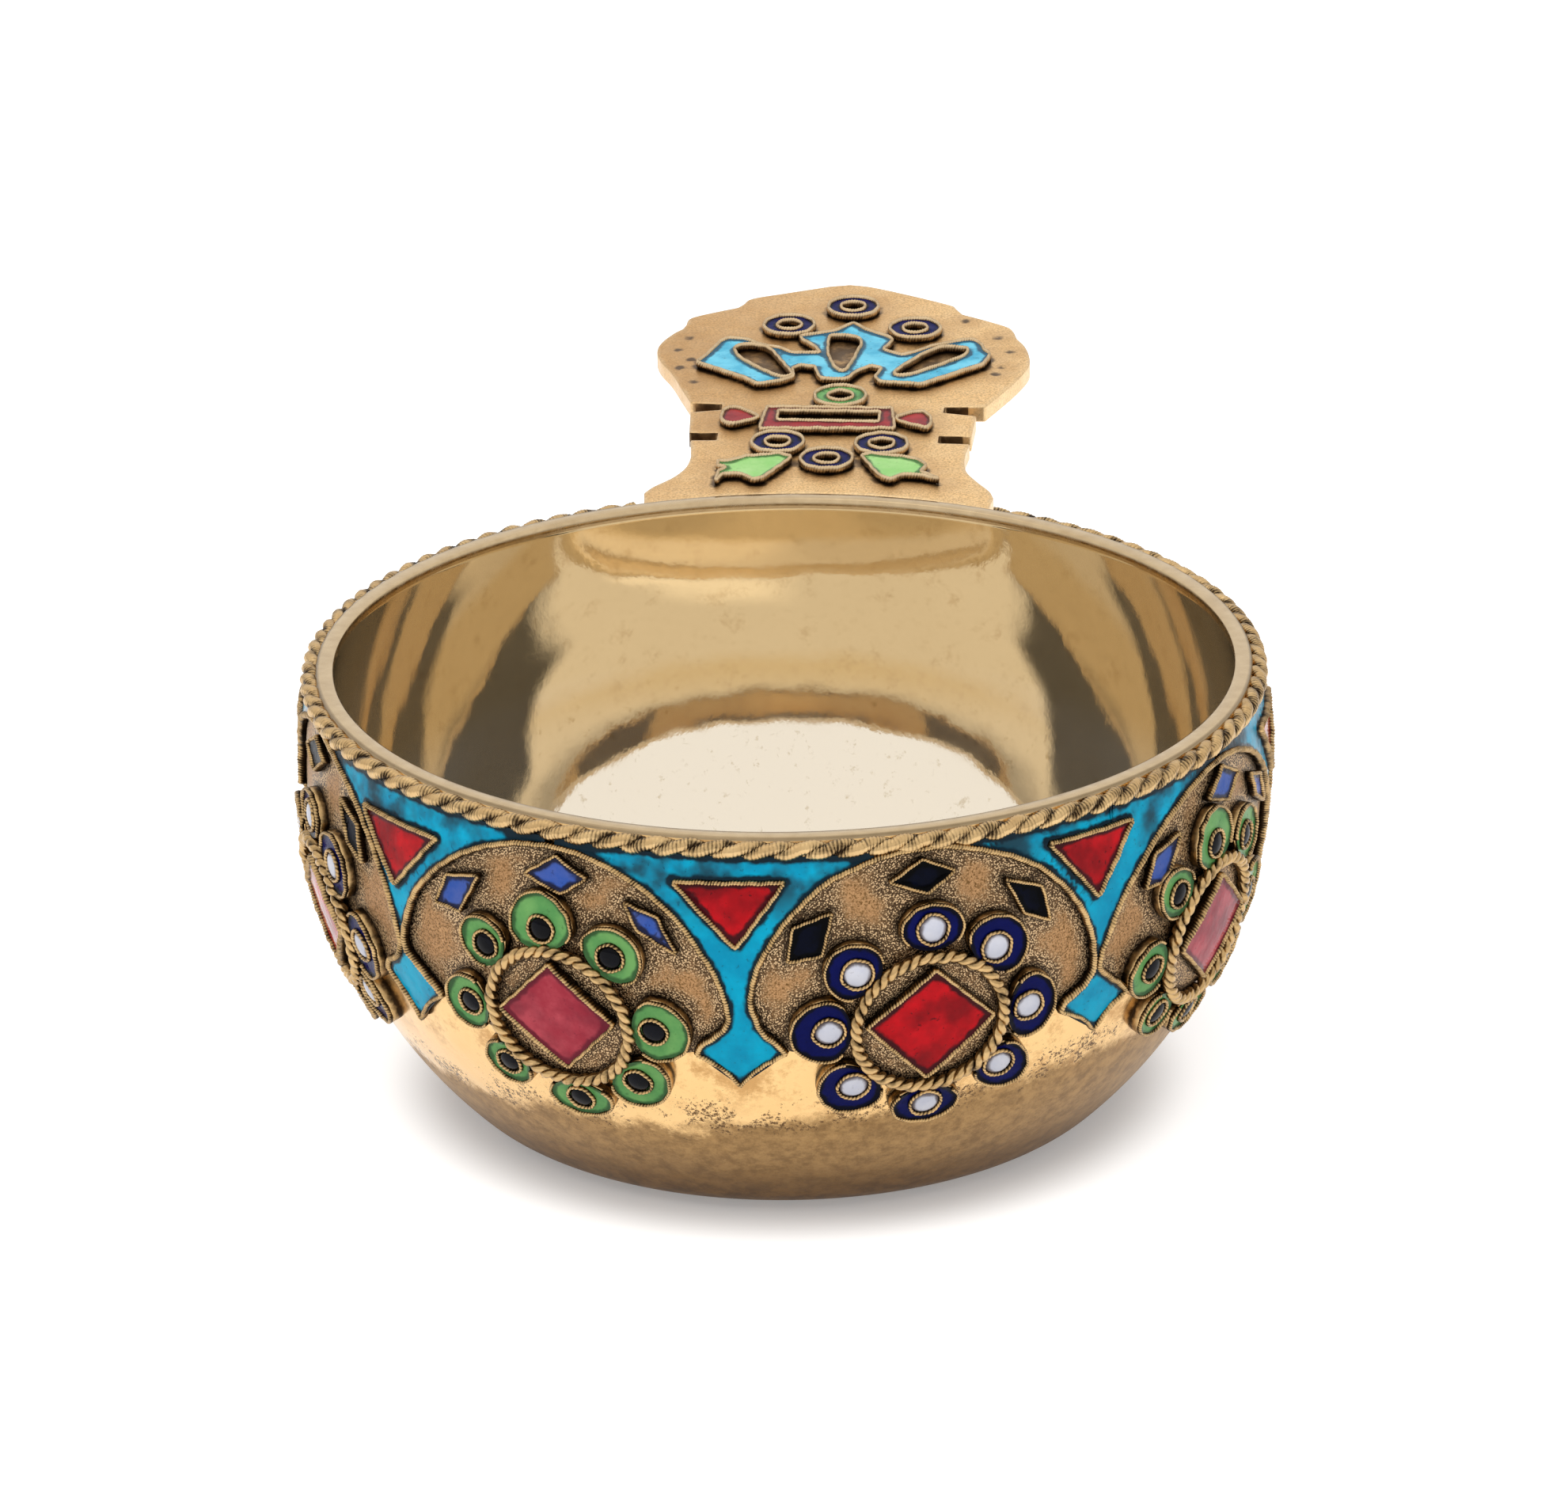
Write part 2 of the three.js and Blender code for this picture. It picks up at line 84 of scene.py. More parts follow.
class Value:
    """An output of a shader node. Sums and products of values make the nodes for them."""

    def __init__(self, socket):
        self.socket, self.tree = socket, socket.id_data

    def maths(self, operation, other=0.0, **settings):
        return shade(self.tree, "Math", {0: self, 1: other}, operation=operation, **settings)

    def __add__(self, other):
        return self.maths("ADD", other)

    def __sub__(self, other):
        return self.maths("SUBTRACT", other)

    def __mul__(self, other):
        return self.maths("MULTIPLY", other)

    def part(self, axis):
        return shade(self.tree, "SeparateXYZ", {0: self}, axis)


def node(tree, kind, inputs=None, **settings):
    """A shader node with its settings, and its inputs linked or set."""
    made = tree.nodes.new("ShaderNode" + kind)
    for key, given in settings.items():
        setattr(made, key, given)
    for key, given in (inputs or {}).items():
        if isinstance(given, Value):
            tree.links.new(given.socket, made.inputs[key])
        else:
            made.inputs[key].default_value = given
    return made


def shade(tree, kind, inputs=None, output=0, **settings):
    """The value that a new shader node puts out."""
    return Value(node(tree, kind, inputs, **settings).outputs[output])


def remap(value, start, end, low=0.0, high=1.0):
    """value from start to end becomes low to high, with soft ends."""
    return shade(
        value.tree, "MapRange", {0: value, 1: start, 2: end, 3: low, 4: high},
        interpolation_type="SMOOTHSTEP",
    )


def ray(tree, about):
    return shade(tree, "LightPath", output=about)


def place_in(tree):
    return shade(tree, "TexCoord", output="Object")


def length_of(place):
    return shade(place.tree, "VectorMath", {0: place}, "Value", operation="LENGTH")


world = bpy.data.worlds.new("studio")
world.use_nodes = True
bpy.context.scene.world = world
tree = world.node_tree
tree.nodes.clear()
away = shade(tree, "TexCoord", output="Generated")
rightwards, backwards, upwards = (away.part(axis) for axis in "XYZ")
side = rightwards.maths("ABSOLUTE")

patch_low, patch_high, patch_side = 0.2, 0.57, 0.64
dark_patch = (
    remap(upwards, patch_low - 0.04, patch_low + 0.04)
    * remap(upwards, patch_high + 0.05, patch_high - 0.05)
    * remap(side, patch_side + 0.06, patch_side - 0.06)
    * remap(backwards, 0.1, -0.1)
)
dim_sides = remap(side, 0.3, 0.7, 0, 0.22)
high_left = remap(upwards, 0.8, 0.9) * remap(rightwards, 0.1, -0.2)
mirrored = remap(upwards, 0.06, 0.2, 0.5, 1.03) + high_left * 0.4
mirrored = mirrored - ray(tree, "Glossy Depth").maths("GREATER_THAN", 1.5) * (dark_patch * 0.99)
mirrored = mirrored - ray(tree, "Glossy Depth").maths("GREATER_THAN", 2.5) * dim_sides
mirrored = mirrored.maths("MAXIMUM", 0.04)
low_front = remap(backwards, 0.1, -0.7) * remap(upwards, 0.7, 0.2)


def background(strength, colour=(1, 1, 1, 1)):
    return shade(tree, "Background", {"Color": colour, "Strength": strength})


lighting = shade(tree, "MixShader", {
    0: ray(tree, "Is Glossy Ray"),
    1: background(low_front * 0.15 + 0.6),
    2: background(mirrored, (1, 0.99, 0.97, 1)),
})
whole = {0: ray(tree, "Is Camera Ray"), 1: lighting, 2: background(1.0)}
node(tree, "OutputWorld", {0: shade(tree, "MixShader", whole)})

lamp = new_object("lamp", bpy.data.lights.new("lamp", "AREA"))
lamp.data.shape = "RECTANGLE"
lamp.data.size, lamp.data.size_y = 1.1, 0.8
lamp.data.energy = 7.0
lamp.location = (-0.08, -0.45, 0.95)
lamp.rotation_euler = Vector(lamp.location).to_track_quat("Z", "Y").to_euler()
lamp.visible_glossy = False

paper = bpy.data.materials.new("table_top")
paper.use_nodes = True
tree = paper.node_tree
tree.nodes.clear()
watched = ray(tree, "Is Camera Ray").maths("ADD", ray(tree, "Is Glossy Ray"), use_clamp=True)
watched = watched.maths("ADD", ray(tree, "Is Transmission Ray"), use_clamp=True)
# The table glows for the camera and in reflections, least close to the bowl's foot: a painted shadow
# round the foot, over the lamp's real one.
lift = watched * remap(length_of(place_in(tree)), 0.0235, 0.03, 0.24, 0.62)
matt = shade(tree, "BsdfDiffuse", {"Color": (0.8, 0.8, 0.8, 1)})
bright = shade(tree, "Emission", {"Color": (1, 1, 1, 1), "Strength": lift})
node(tree, "OutputMaterial", {0: shade(tree, "AddShader", {0: matt, 1: bright})})
table_reach, table_drop = 3, 0.00003
square = ((-1, -1), (1, -1), (1, 1), (-1, 1))
table = bpy.data.meshes.new("table_top")
table.from_pydata(
    [(x * table_reach, y * table_reach, -table_drop) for x, y in square], [], [(0, 1, 2, 3)]
)
table.materials.append(paper)
floor = new_object("table_top", table)


# The bowl: one sheet of gilt silver, raised, with a flat foot and a flat polished rim. The outside is
# burnished below the ornament and worn dull and pitted towards the foot. The dull zone reaches higher
# on the right, which is painted shade, and darkens towards the foot, which is worn gilding with
# painted shade for the shadowed table that it mirrors. The inside is polished, with a pale floor: worn
# gilding that shows the silver, and a painted highlight. Sizes are in millimetres, and a depth is a
# length down the wall from the rim.

rim_height, rim_radius, wall = 32.6, 33.283, 1.3
arc, arc_out, arc_up = 33.013, 1.087, 25.3
corner, foot_radius = 6.0, 19.987
rim_lean, foot_lean = math.radians(12.775), math.radians(45.6)
corner_depth = arc * (rim_lean + foot_lean)
foot_depth = corner_depth + corner * (math.pi / 2 - foot_lean)
turns = 216


def tone(red, green, blue):
    """A colour as a screen shows it, for a shader."""
    def straight(value):
        value /= 255
        return value / 12.92 if value <= 0.04045 else ((value + 0.055) / 1.055) ** 2.4
    return (straight(red), straight(green), straight(blue), 1)


def wall_at(depth, proud):
    """The distance from the axis and the height of the wall, or of what stands proud of it."""
    lean = depth / arc - rim_lean
    low = foot_lean + (depth - corner_depth) / corner
    on_arc = depth <= corner_depth
    out = np.where(
        on_arc, arc_out + (arc + proud) * np.cos(lean), foot_radius + (corner + proud) * np.cos(low)
    )
    up = np.where(
        on_arc, arc_up - (arc + proud) * np.sin(lean), corner - (corner + proud) * np.sin(low)
    )
    return out, up


def new_material(name):
    """A new material, its shader, and the place that its nodes start from."""
    made = bpy.data.materials.new(name)
    made.use_nodes = True
    return made, made.node_tree.nodes["Principled BSDF"], place_in(made.node_tree)


def noise(place, scale, detail=3.0, rough=0.5):
    return shade(
        place.tree, "TexNoise",
        {"Vector": place, "Scale": scale, "Detail": detail, "Roughness": rough},
    )


def mix(share, first, second):
    return shade(share.tree, "Mix", {0: share, 6: first, 7: second}, 2, data_type="RGBA")


def bump(height, strength, distance, below=None, **settings):
    inputs = {"Strength": strength, "Distance": distance, "Height": height}
    if below:
        inputs["Normal"] = below
    return shade(height.tree, "Bump", inputs, **settings)


def connect(values, sockets):
    """Links each value to the socket of its name."""
    for name, value in values.items():
        value.tree.links.new(value.socket, sockets[name])


def finish_metal(shader, colour, roughness, normal, metallic=1):
    """Sets a metal's values on its shader."""
    shader.inputs["Metallic"].default_value = metallic
    connect({"Base Color": colour, "Roughness": roughness, "Normal": normal}, shader.inputs)


outside, shader, place = new_material("gilt_outside")
height = place.part("Z")
# The dull zone climbs towards the right, so the right side is darker: painted shade for light from the
# left.
drift = (noise(place, 150, 9, 0.82) - 0.5) * 0.0085 + place.part("X") * -0.08
worn_and_shaded_height = height + drift
worn_and_shaded = remap(worn_and_shaded_height, 0.011, 0.009)
burnished = mix(noise(place, 260, 4), tone(218, 176, 116), tone(242, 205, 148))
dull = mix(remap(noise(place, 900, 6, 0.75), 0.33, 0.67), tone(130, 100, 62), tone(167, 133, 86))
# Darker towards the foot: worn gilding, and painted shade for the shadowed table that the lower wall
# mirrors.
shaded_worn_foot = mix(remap(noise(place, 700, 5, 0.7), 0.35, 0.65), tone(102, 72, 36), tone(134, 98, 52))
dull = mix(remap(height, 0.007, 0.001), dull, shaded_worn_foot)
stain = remap(noise(place, 260, 6, 0.75), 0.44, 0.62) * remap(height, 0.0095, 0.0135)
colour = mix(stain * 0.75, mix(worn_and_shaded, burnished, dull), tone(170, 124, 70))
patchy = remap(noise(place, 330, 6, 0.75), 0.42, 0.54)
near = remap((worn_and_shaded_height - 0.0105).maths("ABSOLUTE"), 0.0034, 0.0004) * patchy
pit = remap(noise(place, 3500, 6, 0.8) + near * 0.19, 0.68, 0.72)
colour = mix(pit, colour, tone(100, 74, 46))
wavy = bump(noise(place, 190, 2), 0.16, 0.0008)
pitted = bump(pit, 0.4, 0.00006, wavy, invert=True)
fine = bump(noise(place, 3000, 4), 0.1, 0.00008, pitted)
finish_metal(shader, colour, remap(worn_and_shaded, 0, 1, 0.2, 0.46), fine)

inside, shader, place = new_material("gilt_inside")
colour = mix(noise(place, 90, 4), tone(224, 203, 164), tone(234, 214, 176))
stain = remap(noise(place, 520, 6, 0.75), 0.52, 0.7)
colour = mix(stain * 0.35, colour, tone(184, 152, 104))
# The floor is pale, near white: worn gilding that shows the silver, and a painted highlight for the
# bright reflection there.
silver_and_painted_highlight = mix(remap(noise(place, 1100, 5, 0.7), 0.58, 0.72), tone(237, 226, 208), tone(212, 197, 172))
colour = mix(remap(place.part("Z"), 0.0205, 0.0155), colour, silver_and_painted_highlight)
roughness = remap(noise(place, 340, 4), 0.3, 0.7, 0.022, 0.058)
wavy = bump(noise(place, 90, 2), 0.05, 0.0017)
wavy = bump(noise(place, 500), 0.05, 0.00009, wavy)
scratches = {"Vector": place, "Scale": (2600, 900, 1400), "Rotation": (0.2, 0.9, 0.5)}
scratched = noise(shade(place.tree, "Mapping", scratches), 1, 4, 0.6)
finish_metal(shader, colour, roughness, bump(scratched, 0.05, 0.00004, wavy), metallic=0.93)

lip, shader, place = new_material("gilt_rim")
colour = mix(noise(place, 900, 4), tone(182, 157, 120), tone(216, 192, 154))
edge = math.hypot(rim_radius, rim_height) / 1000
# Darker towards the outer edge, where the rim meets the rope: dirt, and painted shade.
dirt_and_shade = remap(length_of(place), edge - 0.0002, edge - 0.00006, 0, 0.6)
colour = mix(dirt_and_shade, colour, tone(70, 52, 32))
roughness = remap(noise(place, 1200, 4), 0.3, 0.7, 0.16, 0.28)
finish_metal(shader, colour, roughness, bump(noise(place, 2600, 4), 0.06, 0.00006))

outline = [(radius, 0.0) for radius in (0, 5, 10, 14, 17, 19)]
outline += [wall_at(depth, 0) for depth in np.linspace(foot_depth, corner_depth, 14)]
outline += [wall_at(depth, 0) for depth in np.linspace(corner_depth, 0.22, 48)[1:]]
outside_end = len(outline)
outline += [(rim_radius - 0.06, rim_height - 0.05), (rim_radius - 0.2, rim_height)]
outline += [(rim_radius - 1.12, rim_height), (rim_radius - 1.26, rim_height - 0.06)]
outline += [wall_at(0.42, -1.24), wall_at(0.55, -1.3)]
rim_end = len(outline)
outline += [wall_at(depth, -wall) for depth in np.linspace(0.8, corner_depth, 56)]
outline += [wall_at(depth, -wall) for depth in np.linspace(corner_depth, foot_depth, 12)[1:]]
outline += [(radius, wall) for radius in (17, 14, 10, 5, 0)]
outline = np.array([(float(out), float(up)) for out, up in outline])
form = bmesh.new()
points = [form.verts.new((out / 1000, 0, up / 1000)) for out, up in outline]
edges = [form.edges.new(pair) for pair in zip(points, points[1:])]
bmesh.ops.spin(
    form, geom=points + edges, axis=(0, 0, 1), angle=2 * math.pi, steps=turns, use_merge=True
)
bmesh.ops.remove_doubles(form, verts=form.verts, dist=1e-6)
bmesh.ops.recalc_face_normals(form, faces=form.faces)
middles = (outline[1:] + outline[:-1]) / 2000
for face in form.faces:
    middle = face.calc_center_median()
    nearest = np.argmin(
        (middles[:, 0] - math.hypot(middle.x, middle.y)) ** 2 + (middles[:, 1] - middle.z) ** 2
    )
    face.material_index = 0 if nearest < outside_end - 1 else 1 if nearest < rim_end - 1 else 2
mesh = bpy.data.meshes.new("bowl")
form.to_mesh(mesh)
form.free()
for material in (outside, lip, inside):
    mesh.materials.append(material)
mesh.shade_smooth()
bowl = new_object("bowl", mesh)
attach(bowl, "root")
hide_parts("bowl_body")


# The medallions: eight flowers of melted enamel under wire arches round the wall. Two kinds
# alternate, with blue petals or green ones. Their outlines are in millimetres on the unrolled
# wall, from a medallion's middle, with x to the right and y up. Angles are in degrees.

medallion_count, turn_back = 8, -1.3
blue = {
    "shift": -0.18, "depth": 13.59,
    "dots": [(0.03, 6.72), (4.59, 4.7), (7.22, -0.4), (5.32, -4.87),
             (0.28, -7.51), (-4.91, -5.23), (-6.91, -0.46), (-5.13, 3.95)],
    "reach": [(1.95, 2.35), (2.45, 2.5), (2.25, 2.7), (2.7, 2.1),
              (1.95, 2.5), (2.55, 2.5), (2.75, 2.6), (2.45, 2.25)],
    "ring": (0.12, -0.5, 5.2),
    "frame": [(0.19, 3.85), (-4.42, -0.1), (0.0, -4.8), (4.5, -0.32)],
    "arch": [(-9.83, -2.5), (-10.4, -1.81), (-11.41, -0.82), (-12.1, 0.46), (-12.47, 2.21),
             (-11.95, 4.75), (-10.57, 7.24), (-9.49, 8.59), (-7.29, 10.59), (-5.1, 11.61),
             (-2.93, 12.32), (-0.76, 12.54), (1.51, 12.46), (3.67, 11.91), (6.02, 11.04),
             (8.42, 9.65), (10.75, 7.3), (12.3, 4.6), (12.93, 1.72), (12.74, 0.51),
             (11.92, -0.54), (10.64, -1.34), (10.25, -2.03)],
    "diamonds": [
        [(-6.68, 8.53), (-9.56, 7.57), (-9.96, 4.75), (-7.37, 5.2)],
        [(-2.98, 10.23), (-0.16, 9.02), (1.99, 10.58), (-0.48, 11.81)],
        [(5.32, 9.44), (6.73, 6.46), (8.99, 5.54), (8.35, 8.43)],
    ],
}
green = {
    "shift": 0.62, "depth": 14.05,
    "dots": [(-1.05, 6.33), (4.02, 5.06), (6.66, -0.32), (4.87, -4.87),
             (0.18, -7.33), (-5.12, -5.39), (-7.53, -0.86), (-5.61, 4.21)],
    "reach": [(2.85, 2.5), (2.3, 2.4), (2.65, 2.55), (2.3, 2.5),
              (1.8, 2.5), (1.9, 2.1), (2.35, 2.3), (2.4, 1.95)],
    "ring": (-0.35, -0.45, 5.2),
    "frame": [(-0.48, 3.95), (-4.7, -0.36), (0.0, -4.3), (4.0, 0.02)],
    "arch": [(-10.82, -1.74), (-11.9, -0.77), (-13.36, 0.35), (-14.1, 1.06), (-14.24, 2.28),
             (-13.76, 3.69), (-12.59, 6.16), (-10.36, 8.56), (-7.93, 10.33), (-5.22, 11.59),
             (-2.67, 12.24), (-0.21, 12.42), (2.18, 12.1), (4.5, 11.32), (6.78, 10.08),
             (8.99, 8.15), (10.32, 6.24), (11.4, 4.3), (12.05, 1.75), (11.9, 0.4),
             (11.0, -0.7), (9.9, -1.5), (9.58, -2.25)],
    "diamonds": [
        [(-9.23, 8.48), (-10.35, 5.97), (-7.91, 5.76), (-6.15, 9.05)],
        [(-2.63, 9.98), (0.38, 8.84), (2.43, 10.38), (-0.15, 11.82)],
        [(4.85, 9.23), (5.77, 7.11), (8.79, 5.58), (7.45, 8.44)],
    ],
}
# The angle and depth of each flower that the photograph shows.
seen_flowers = {0: (20.89, 13.59), 1: (65.32, 13.66), 6: (290.56, 14.42), 7: (337.27, 14.05)}
chance = np.random.default_rng(11)

# Each medallion is its number, its kind, and the angle and depth of its ground and its flower.
medallions = []
for index in range(medallion_count):
    kind = (blue, green)[index % 2]
    middle = math.radians(360 / medallion_count * (index + 0.5) + turn_back)
    middle += kind["shift"] / wall_at(kind["depth"], 0)[0]
    if index in seen_flowers:
        flower = (math.radians(seen_flowers[index][0]), seen_flowers[index][1])
    else:
        flower = (middle + chance.normal(0, 0.006), kind["depth"] + chance.normal(0, 0.2))
    medallions.append((index + 1, kind, (middle, kind["depth"]), flower))


def on_wall(angle, depth):
    """Sets flat points (x, y and height above the wall) on the bowl's wall, in metres."""
    def place(points):
        down = depth - points[:, 1]
        turn = angle + points[:, 0] / wall_at(down, 0)[0]
        out, up = wall_at(down, points[:, 2])
        return np.column_stack([out * np.sin(turn), -out * np.cos(turn), up]) / 1000
    return place


def lengths_along(line, closed=False):
    """How far along a line each of its points lies, and its whole length."""
    along = np.concatenate([[0], np.cumsum(np.linalg.norm(np.diff(line, axis=0), axis=1))])
    return along, along[-1] + (np.linalg.norm(line[0] - line[-1]) if closed else 0)


def even(line, step, closed):
    """The same line with points an even step apart."""
    line = np.vstack([line, line[:1]]) if closed else np.asarray(line, float)
    along, total = lengths_along(line)
    stops = np.linspace(0, total, max(4, round(total / step)) + 1)
    if closed:
        stops = stops[:-1]
    return np.column_stack([np.interp(stops, along, column) for column in line.T])


def curved(points, closed=False):
    """A smooth line through points."""
    steps = 6
    points = np.asarray(points, float)
    if closed:
        points = np.vstack([points[-1], points, points[:2]])
    else:
        points = np.vstack([2 * points[0] - points[1], points, 2 * points[-1] - points[-2]])
    share = np.linspace(0, 1, steps, endpoint=False)[:, None]
    line = []
    for a, b, c, d in zip(points, points[1:], points[2:], points[3:]):
        line.append(
            b + (c - a) / 2 * share + (a - 2.5 * b + 2 * c - d / 2) * share**2
            + (1.5 * b - a / 2 - 1.5 * c + d / 2) * share**3
        )
    if not closed:
        line.append(points[-2:-1])
    return np.vstack(line)


def rounded(corners, radius):
    """A closed outline of straight sides between corners that are turned softly."""
    turn_points, longest_turn = 5, 0.45
    share = np.linspace(0, 1, turn_points)[:, None]
    line = []
    for before, here, after in zip(np.roll(corners, 1, 0), corners, np.roll(corners, -1, 0)):
        before, after = before - here, after - here
        reach = min(radius, *(longest_turn * np.linalg.norm(way) for way in (before, after)))
        start = here + before / np.linalg.norm(before) * reach
        end = here + after / np.linalg.norm(after) * reach
        line.append((1 - share) ** 2 * start + 2 * share * (1 - share) * here + share**2 * end)
    return np.vstack(line)


def way_along(line, closed):
    along = np.roll(line, -1, 0) - np.roll(line, 1, 0) if closed else np.gradient(line, axis=0)
    return along / np.linalg.norm(along, axis=1)[:, None]


def inset(line, distance, closed=True):
    """The line moved to its left, which is inwards where it runs anticlockwise."""
    along = way_along(line, closed)
    return line + distance * np.column_stack([-along[:, 1], along[:, 0]])


def shrunk(corners, distance):
    """A small outline drawn in towards its middle."""
    corners = np.asarray(corners, float)
    middle = corners.mean(0)
    reach = np.linalg.norm(corners - middle, axis=1)[:, None]
    return middle + (corners - middle) * (1 - distance / reach)


# The grained ground inside each arch: the wall's gilt face, matted with a punch. Near the wires its
# beads are painted bright on top as glints and dark between, with dirt and painted shade, and it is
# worn to smooth bronze in the middle of each space.

def distance_to(points, loops):
    """Each point's distance to the nearest of some closed lines."""
    best = np.full(len(points), np.inf)
    for loop in loops:
        side = np.roll(loop, -1, 0) - loop
        away = points[:, None] - loop
        share = np.clip((away * side).sum(2) / ((side**2).sum(1) + 1e-12), 0, 1)
        gap = np.linalg.norm(away - share[..., None] * side, axis=2)
        best = np.minimum(best, gap.min(1))
    return best


def cut_up(form, faces, spacing):
    """Cuts flat faces into squares, so that they can follow a curved wall."""
    parts = {part for face in faces for part in (face, *face.edges, *face.verts)}
    places = np.array([point.co[:2] for point in form.verts])
    for axis, normal in ((0, (1, 0, 0)), (1, (0, 1, 0))):
        for at in np.arange(places[:, axis].min() + spacing / 2, places[:, axis].max(), spacing):
            parts = bmesh.ops.bisect_plane(
                form, geom=list(parts), dist=1e-4, plane_co=[at * part for part in normal],
                plane_no=normal,
            )["geom"]


def taken(form, loops, height=None, near=None):
    """The points, faces and layout of a finished form, raised by its height if that is given.
    The layout is the distance to the nearest line, and y."""
    form.verts.ensure_lookup_table()
    points = np.array([point.co for point in form.verts])
    faces = [[point.index for point in face.verts] for face in form.faces]
    form.free()
    gap = distance_to(points[:, :2], loops)
    layout = distance_to(points[:, :2], near) if near else gap
    if height:
        points[:, 2] += height(gap)
    return points, faces, np.column_stack([layout, points[:, 1]])


def hollow(level, rise=0.1, reach=0.2):
    """A sheet's height by its distance to the outline: level, and rise higher at the outline."""
    return lambda gap: level + rise * np.exp(-gap / reach)


def field(outline, spacing, height, holes=(), near=None):
    """A flat sheet inside an outline, as fine as spacing. Its layout is measured from the
    lines near it, or else from its outline and holes."""
    loops = [even(loop, spacing, True) for loop in (outline, *holes)]
    form = bmesh.new()
    for loop in loops:
        points = [form.verts.new((x, y, 0)) for x, y in loop]
        for pair in zip(points, points[1:] + points[:1]):
            form.edges.new(pair)
    bmesh.ops.triangle_fill(form, edges=form.edges, use_beauty=True, normal=(0, 0, 1))
    cut_up(form, form.faces, spacing)
    return taken(form, loops, height, near)


def piece(name, parts, place, finish, *nodes):
    """One object made of parts that are laid out flat and then set in their place. A finish
    is a material."""
    points, faces, layouts, count = [], [], [], 0
    for part, part_faces, layout in parts:
        points.append(place(part))
        faces += [[index + count for index in face] for face in part_faces]
        layouts.append(layout)
        count += len(part)
    mesh = bpy.data.meshes.new(name)
    mesh.from_pydata(np.vstack(points).tolist(), [], faces)
    corner = np.empty(len(mesh.loops), dtype=np.int32)
    mesh.loops.foreach_get("vertex_index", corner)
    layer = mesh.uv_layers.new(name="layout")
    layer.data.foreach_set("uv", np.vstack(layouts)[corner].astype(np.float32).ravel())
    mesh.materials.append(finish[0])
    mesh.shade_smooth()
    made = new_object(name, mesh)
    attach(made, "root")
    if nodes:
        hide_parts(*nodes)


def layout_in(tree, axis="X"):
    """One of the piece's own layout coordinates. X is mostly a distance to its border."""
    return shade(tree, "TexCoord", output="UV").part(axis)


material, shader, place = new_material("grained_ground")
gap = layout_in(place.tree)
beads = shade(place.tree, "TexVoronoi", {"Vector": place, "Scale": 6900.0}, "Distance")
bead = remap(beads, 0.66, 0.3)
close = remap(gap + (noise(place, 500, 4) - 0.5) * 2.4, 1.7, 0.4)
smooth_face = mix(noise(place, 1700, 5, 0.7), tone(150, 112, 74), tone(200, 157, 112))
smooth_face = mix(remap(noise(place, 7000, 2), 0.4, 0.7), smooth_face, tone(112, 82, 48))
# Bead tops painted bright as glints, and the gaps between them dark: dirt and painted shade.
bead_glints_and_shade = mix(bead, tone(48, 38, 30), tone(220, 188, 146))
colour = mix(close * 0.85, smooth_face, bead_glints_and_shade)
colour = mix(remap(gap, 0.4, 0.22) * 0.6, colour, tone(44, 36, 30))
rough = bead * remap(close, 0, 1, 0.45, 1.0)
finish_metal(shader, colour, remap(close, 0, 1, 0.46, 0.42), bump(rough, 0.8, 0.00006))
grained = (material, "gilt_silver")


def circle(x, y, radius, count=96):
    turn = np.linspace(0, 2 * np.pi, count, endpoint=False)
    return np.column_stack([x + radius * np.cos(turn), y + radius * np.sin(turn)])


def petal(dot, reach, trim, end=180):
    """A petal's outline round its dot, drawn in by trim: longer outwards than across."""
    inward, count = 1.5, 49
    dot = np.array(dot)
    out = dot / np.linalg.norm(dot)
    across = np.array([-out[1], out[0]])
    turn = np.radians(np.linspace(-end, end, count))[:, None]
    long = np.where(np.cos(turn) > 0, reach[0] - trim, inward)
    line = dot + out * long * np.cos(turn) + across * (reach[1] - trim) * np.sin(turn)
    return line[:-1] if end == 180 else line


def arch_middle(kind):
    """The middle line of the arch wire, from the end of its left leg to that of its right."""
    return inset(curved(kind["arch"]), -0.2, closed=False)


axis_to_flower = 33.8
lowest_dots, dot_share = (3, 4, 5), 0.8
for number, kind, ground, flower in medallions:
    offset = np.array([(flower[0] - ground[0]) * axis_to_flower, ground[1] - flower[1]])
    petals = [petal(dot, reach, 0) + offset for dot, reach in zip(kind["dots"], kind["reach"])]
    below = [np.array(kind["dots"][index]) * dot_share + offset for index in lowest_dots]
    border = np.vstack([arch_middle(kind), below])
    lines = [border, *petals, *(np.array(diamond) for diamond in kind["diamonds"])]
    sheet = field(border, 0.6, hollow(0.05, rise=0), near=lines)
    piece(f"ground_{number}", [sheet], on_wall(*ground), grained)


# The wires: fine wire, twisted in pairs, flattened and soldered on edge. They border every field of
# enamel. They are dark in the twists and along the foot of each wire, with dirt and painted shade, and
# bright on top, rubbed and with a painted highlight.

def across_and_up(line, closed):
    """The directions to one side of a line and above it, at each of its points."""
    along = way_along(line, closed)
    across = np.cross(along, (0, 0, 1))
    across /= np.linalg.norm(across, axis=1)[:, None]
    return across, np.cross(across, along)


def quads(rows, sides, closed):
    """The faces between rows of points. Each row is a loop, and closed joins the last row to
    the first."""
    gaps = rows if closed else rows - 1
    row, column = np.meshgrid(np.arange(gaps), np.arange(sides), indexing="ij")
    after, beside = (row + 1) % rows * sides, (column + 1) % sides
    row = row * sides
    corners = [row + column, after + column, after + beside, row + beside]
    return np.stack(corners, 2).reshape(-1, 4).tolist()


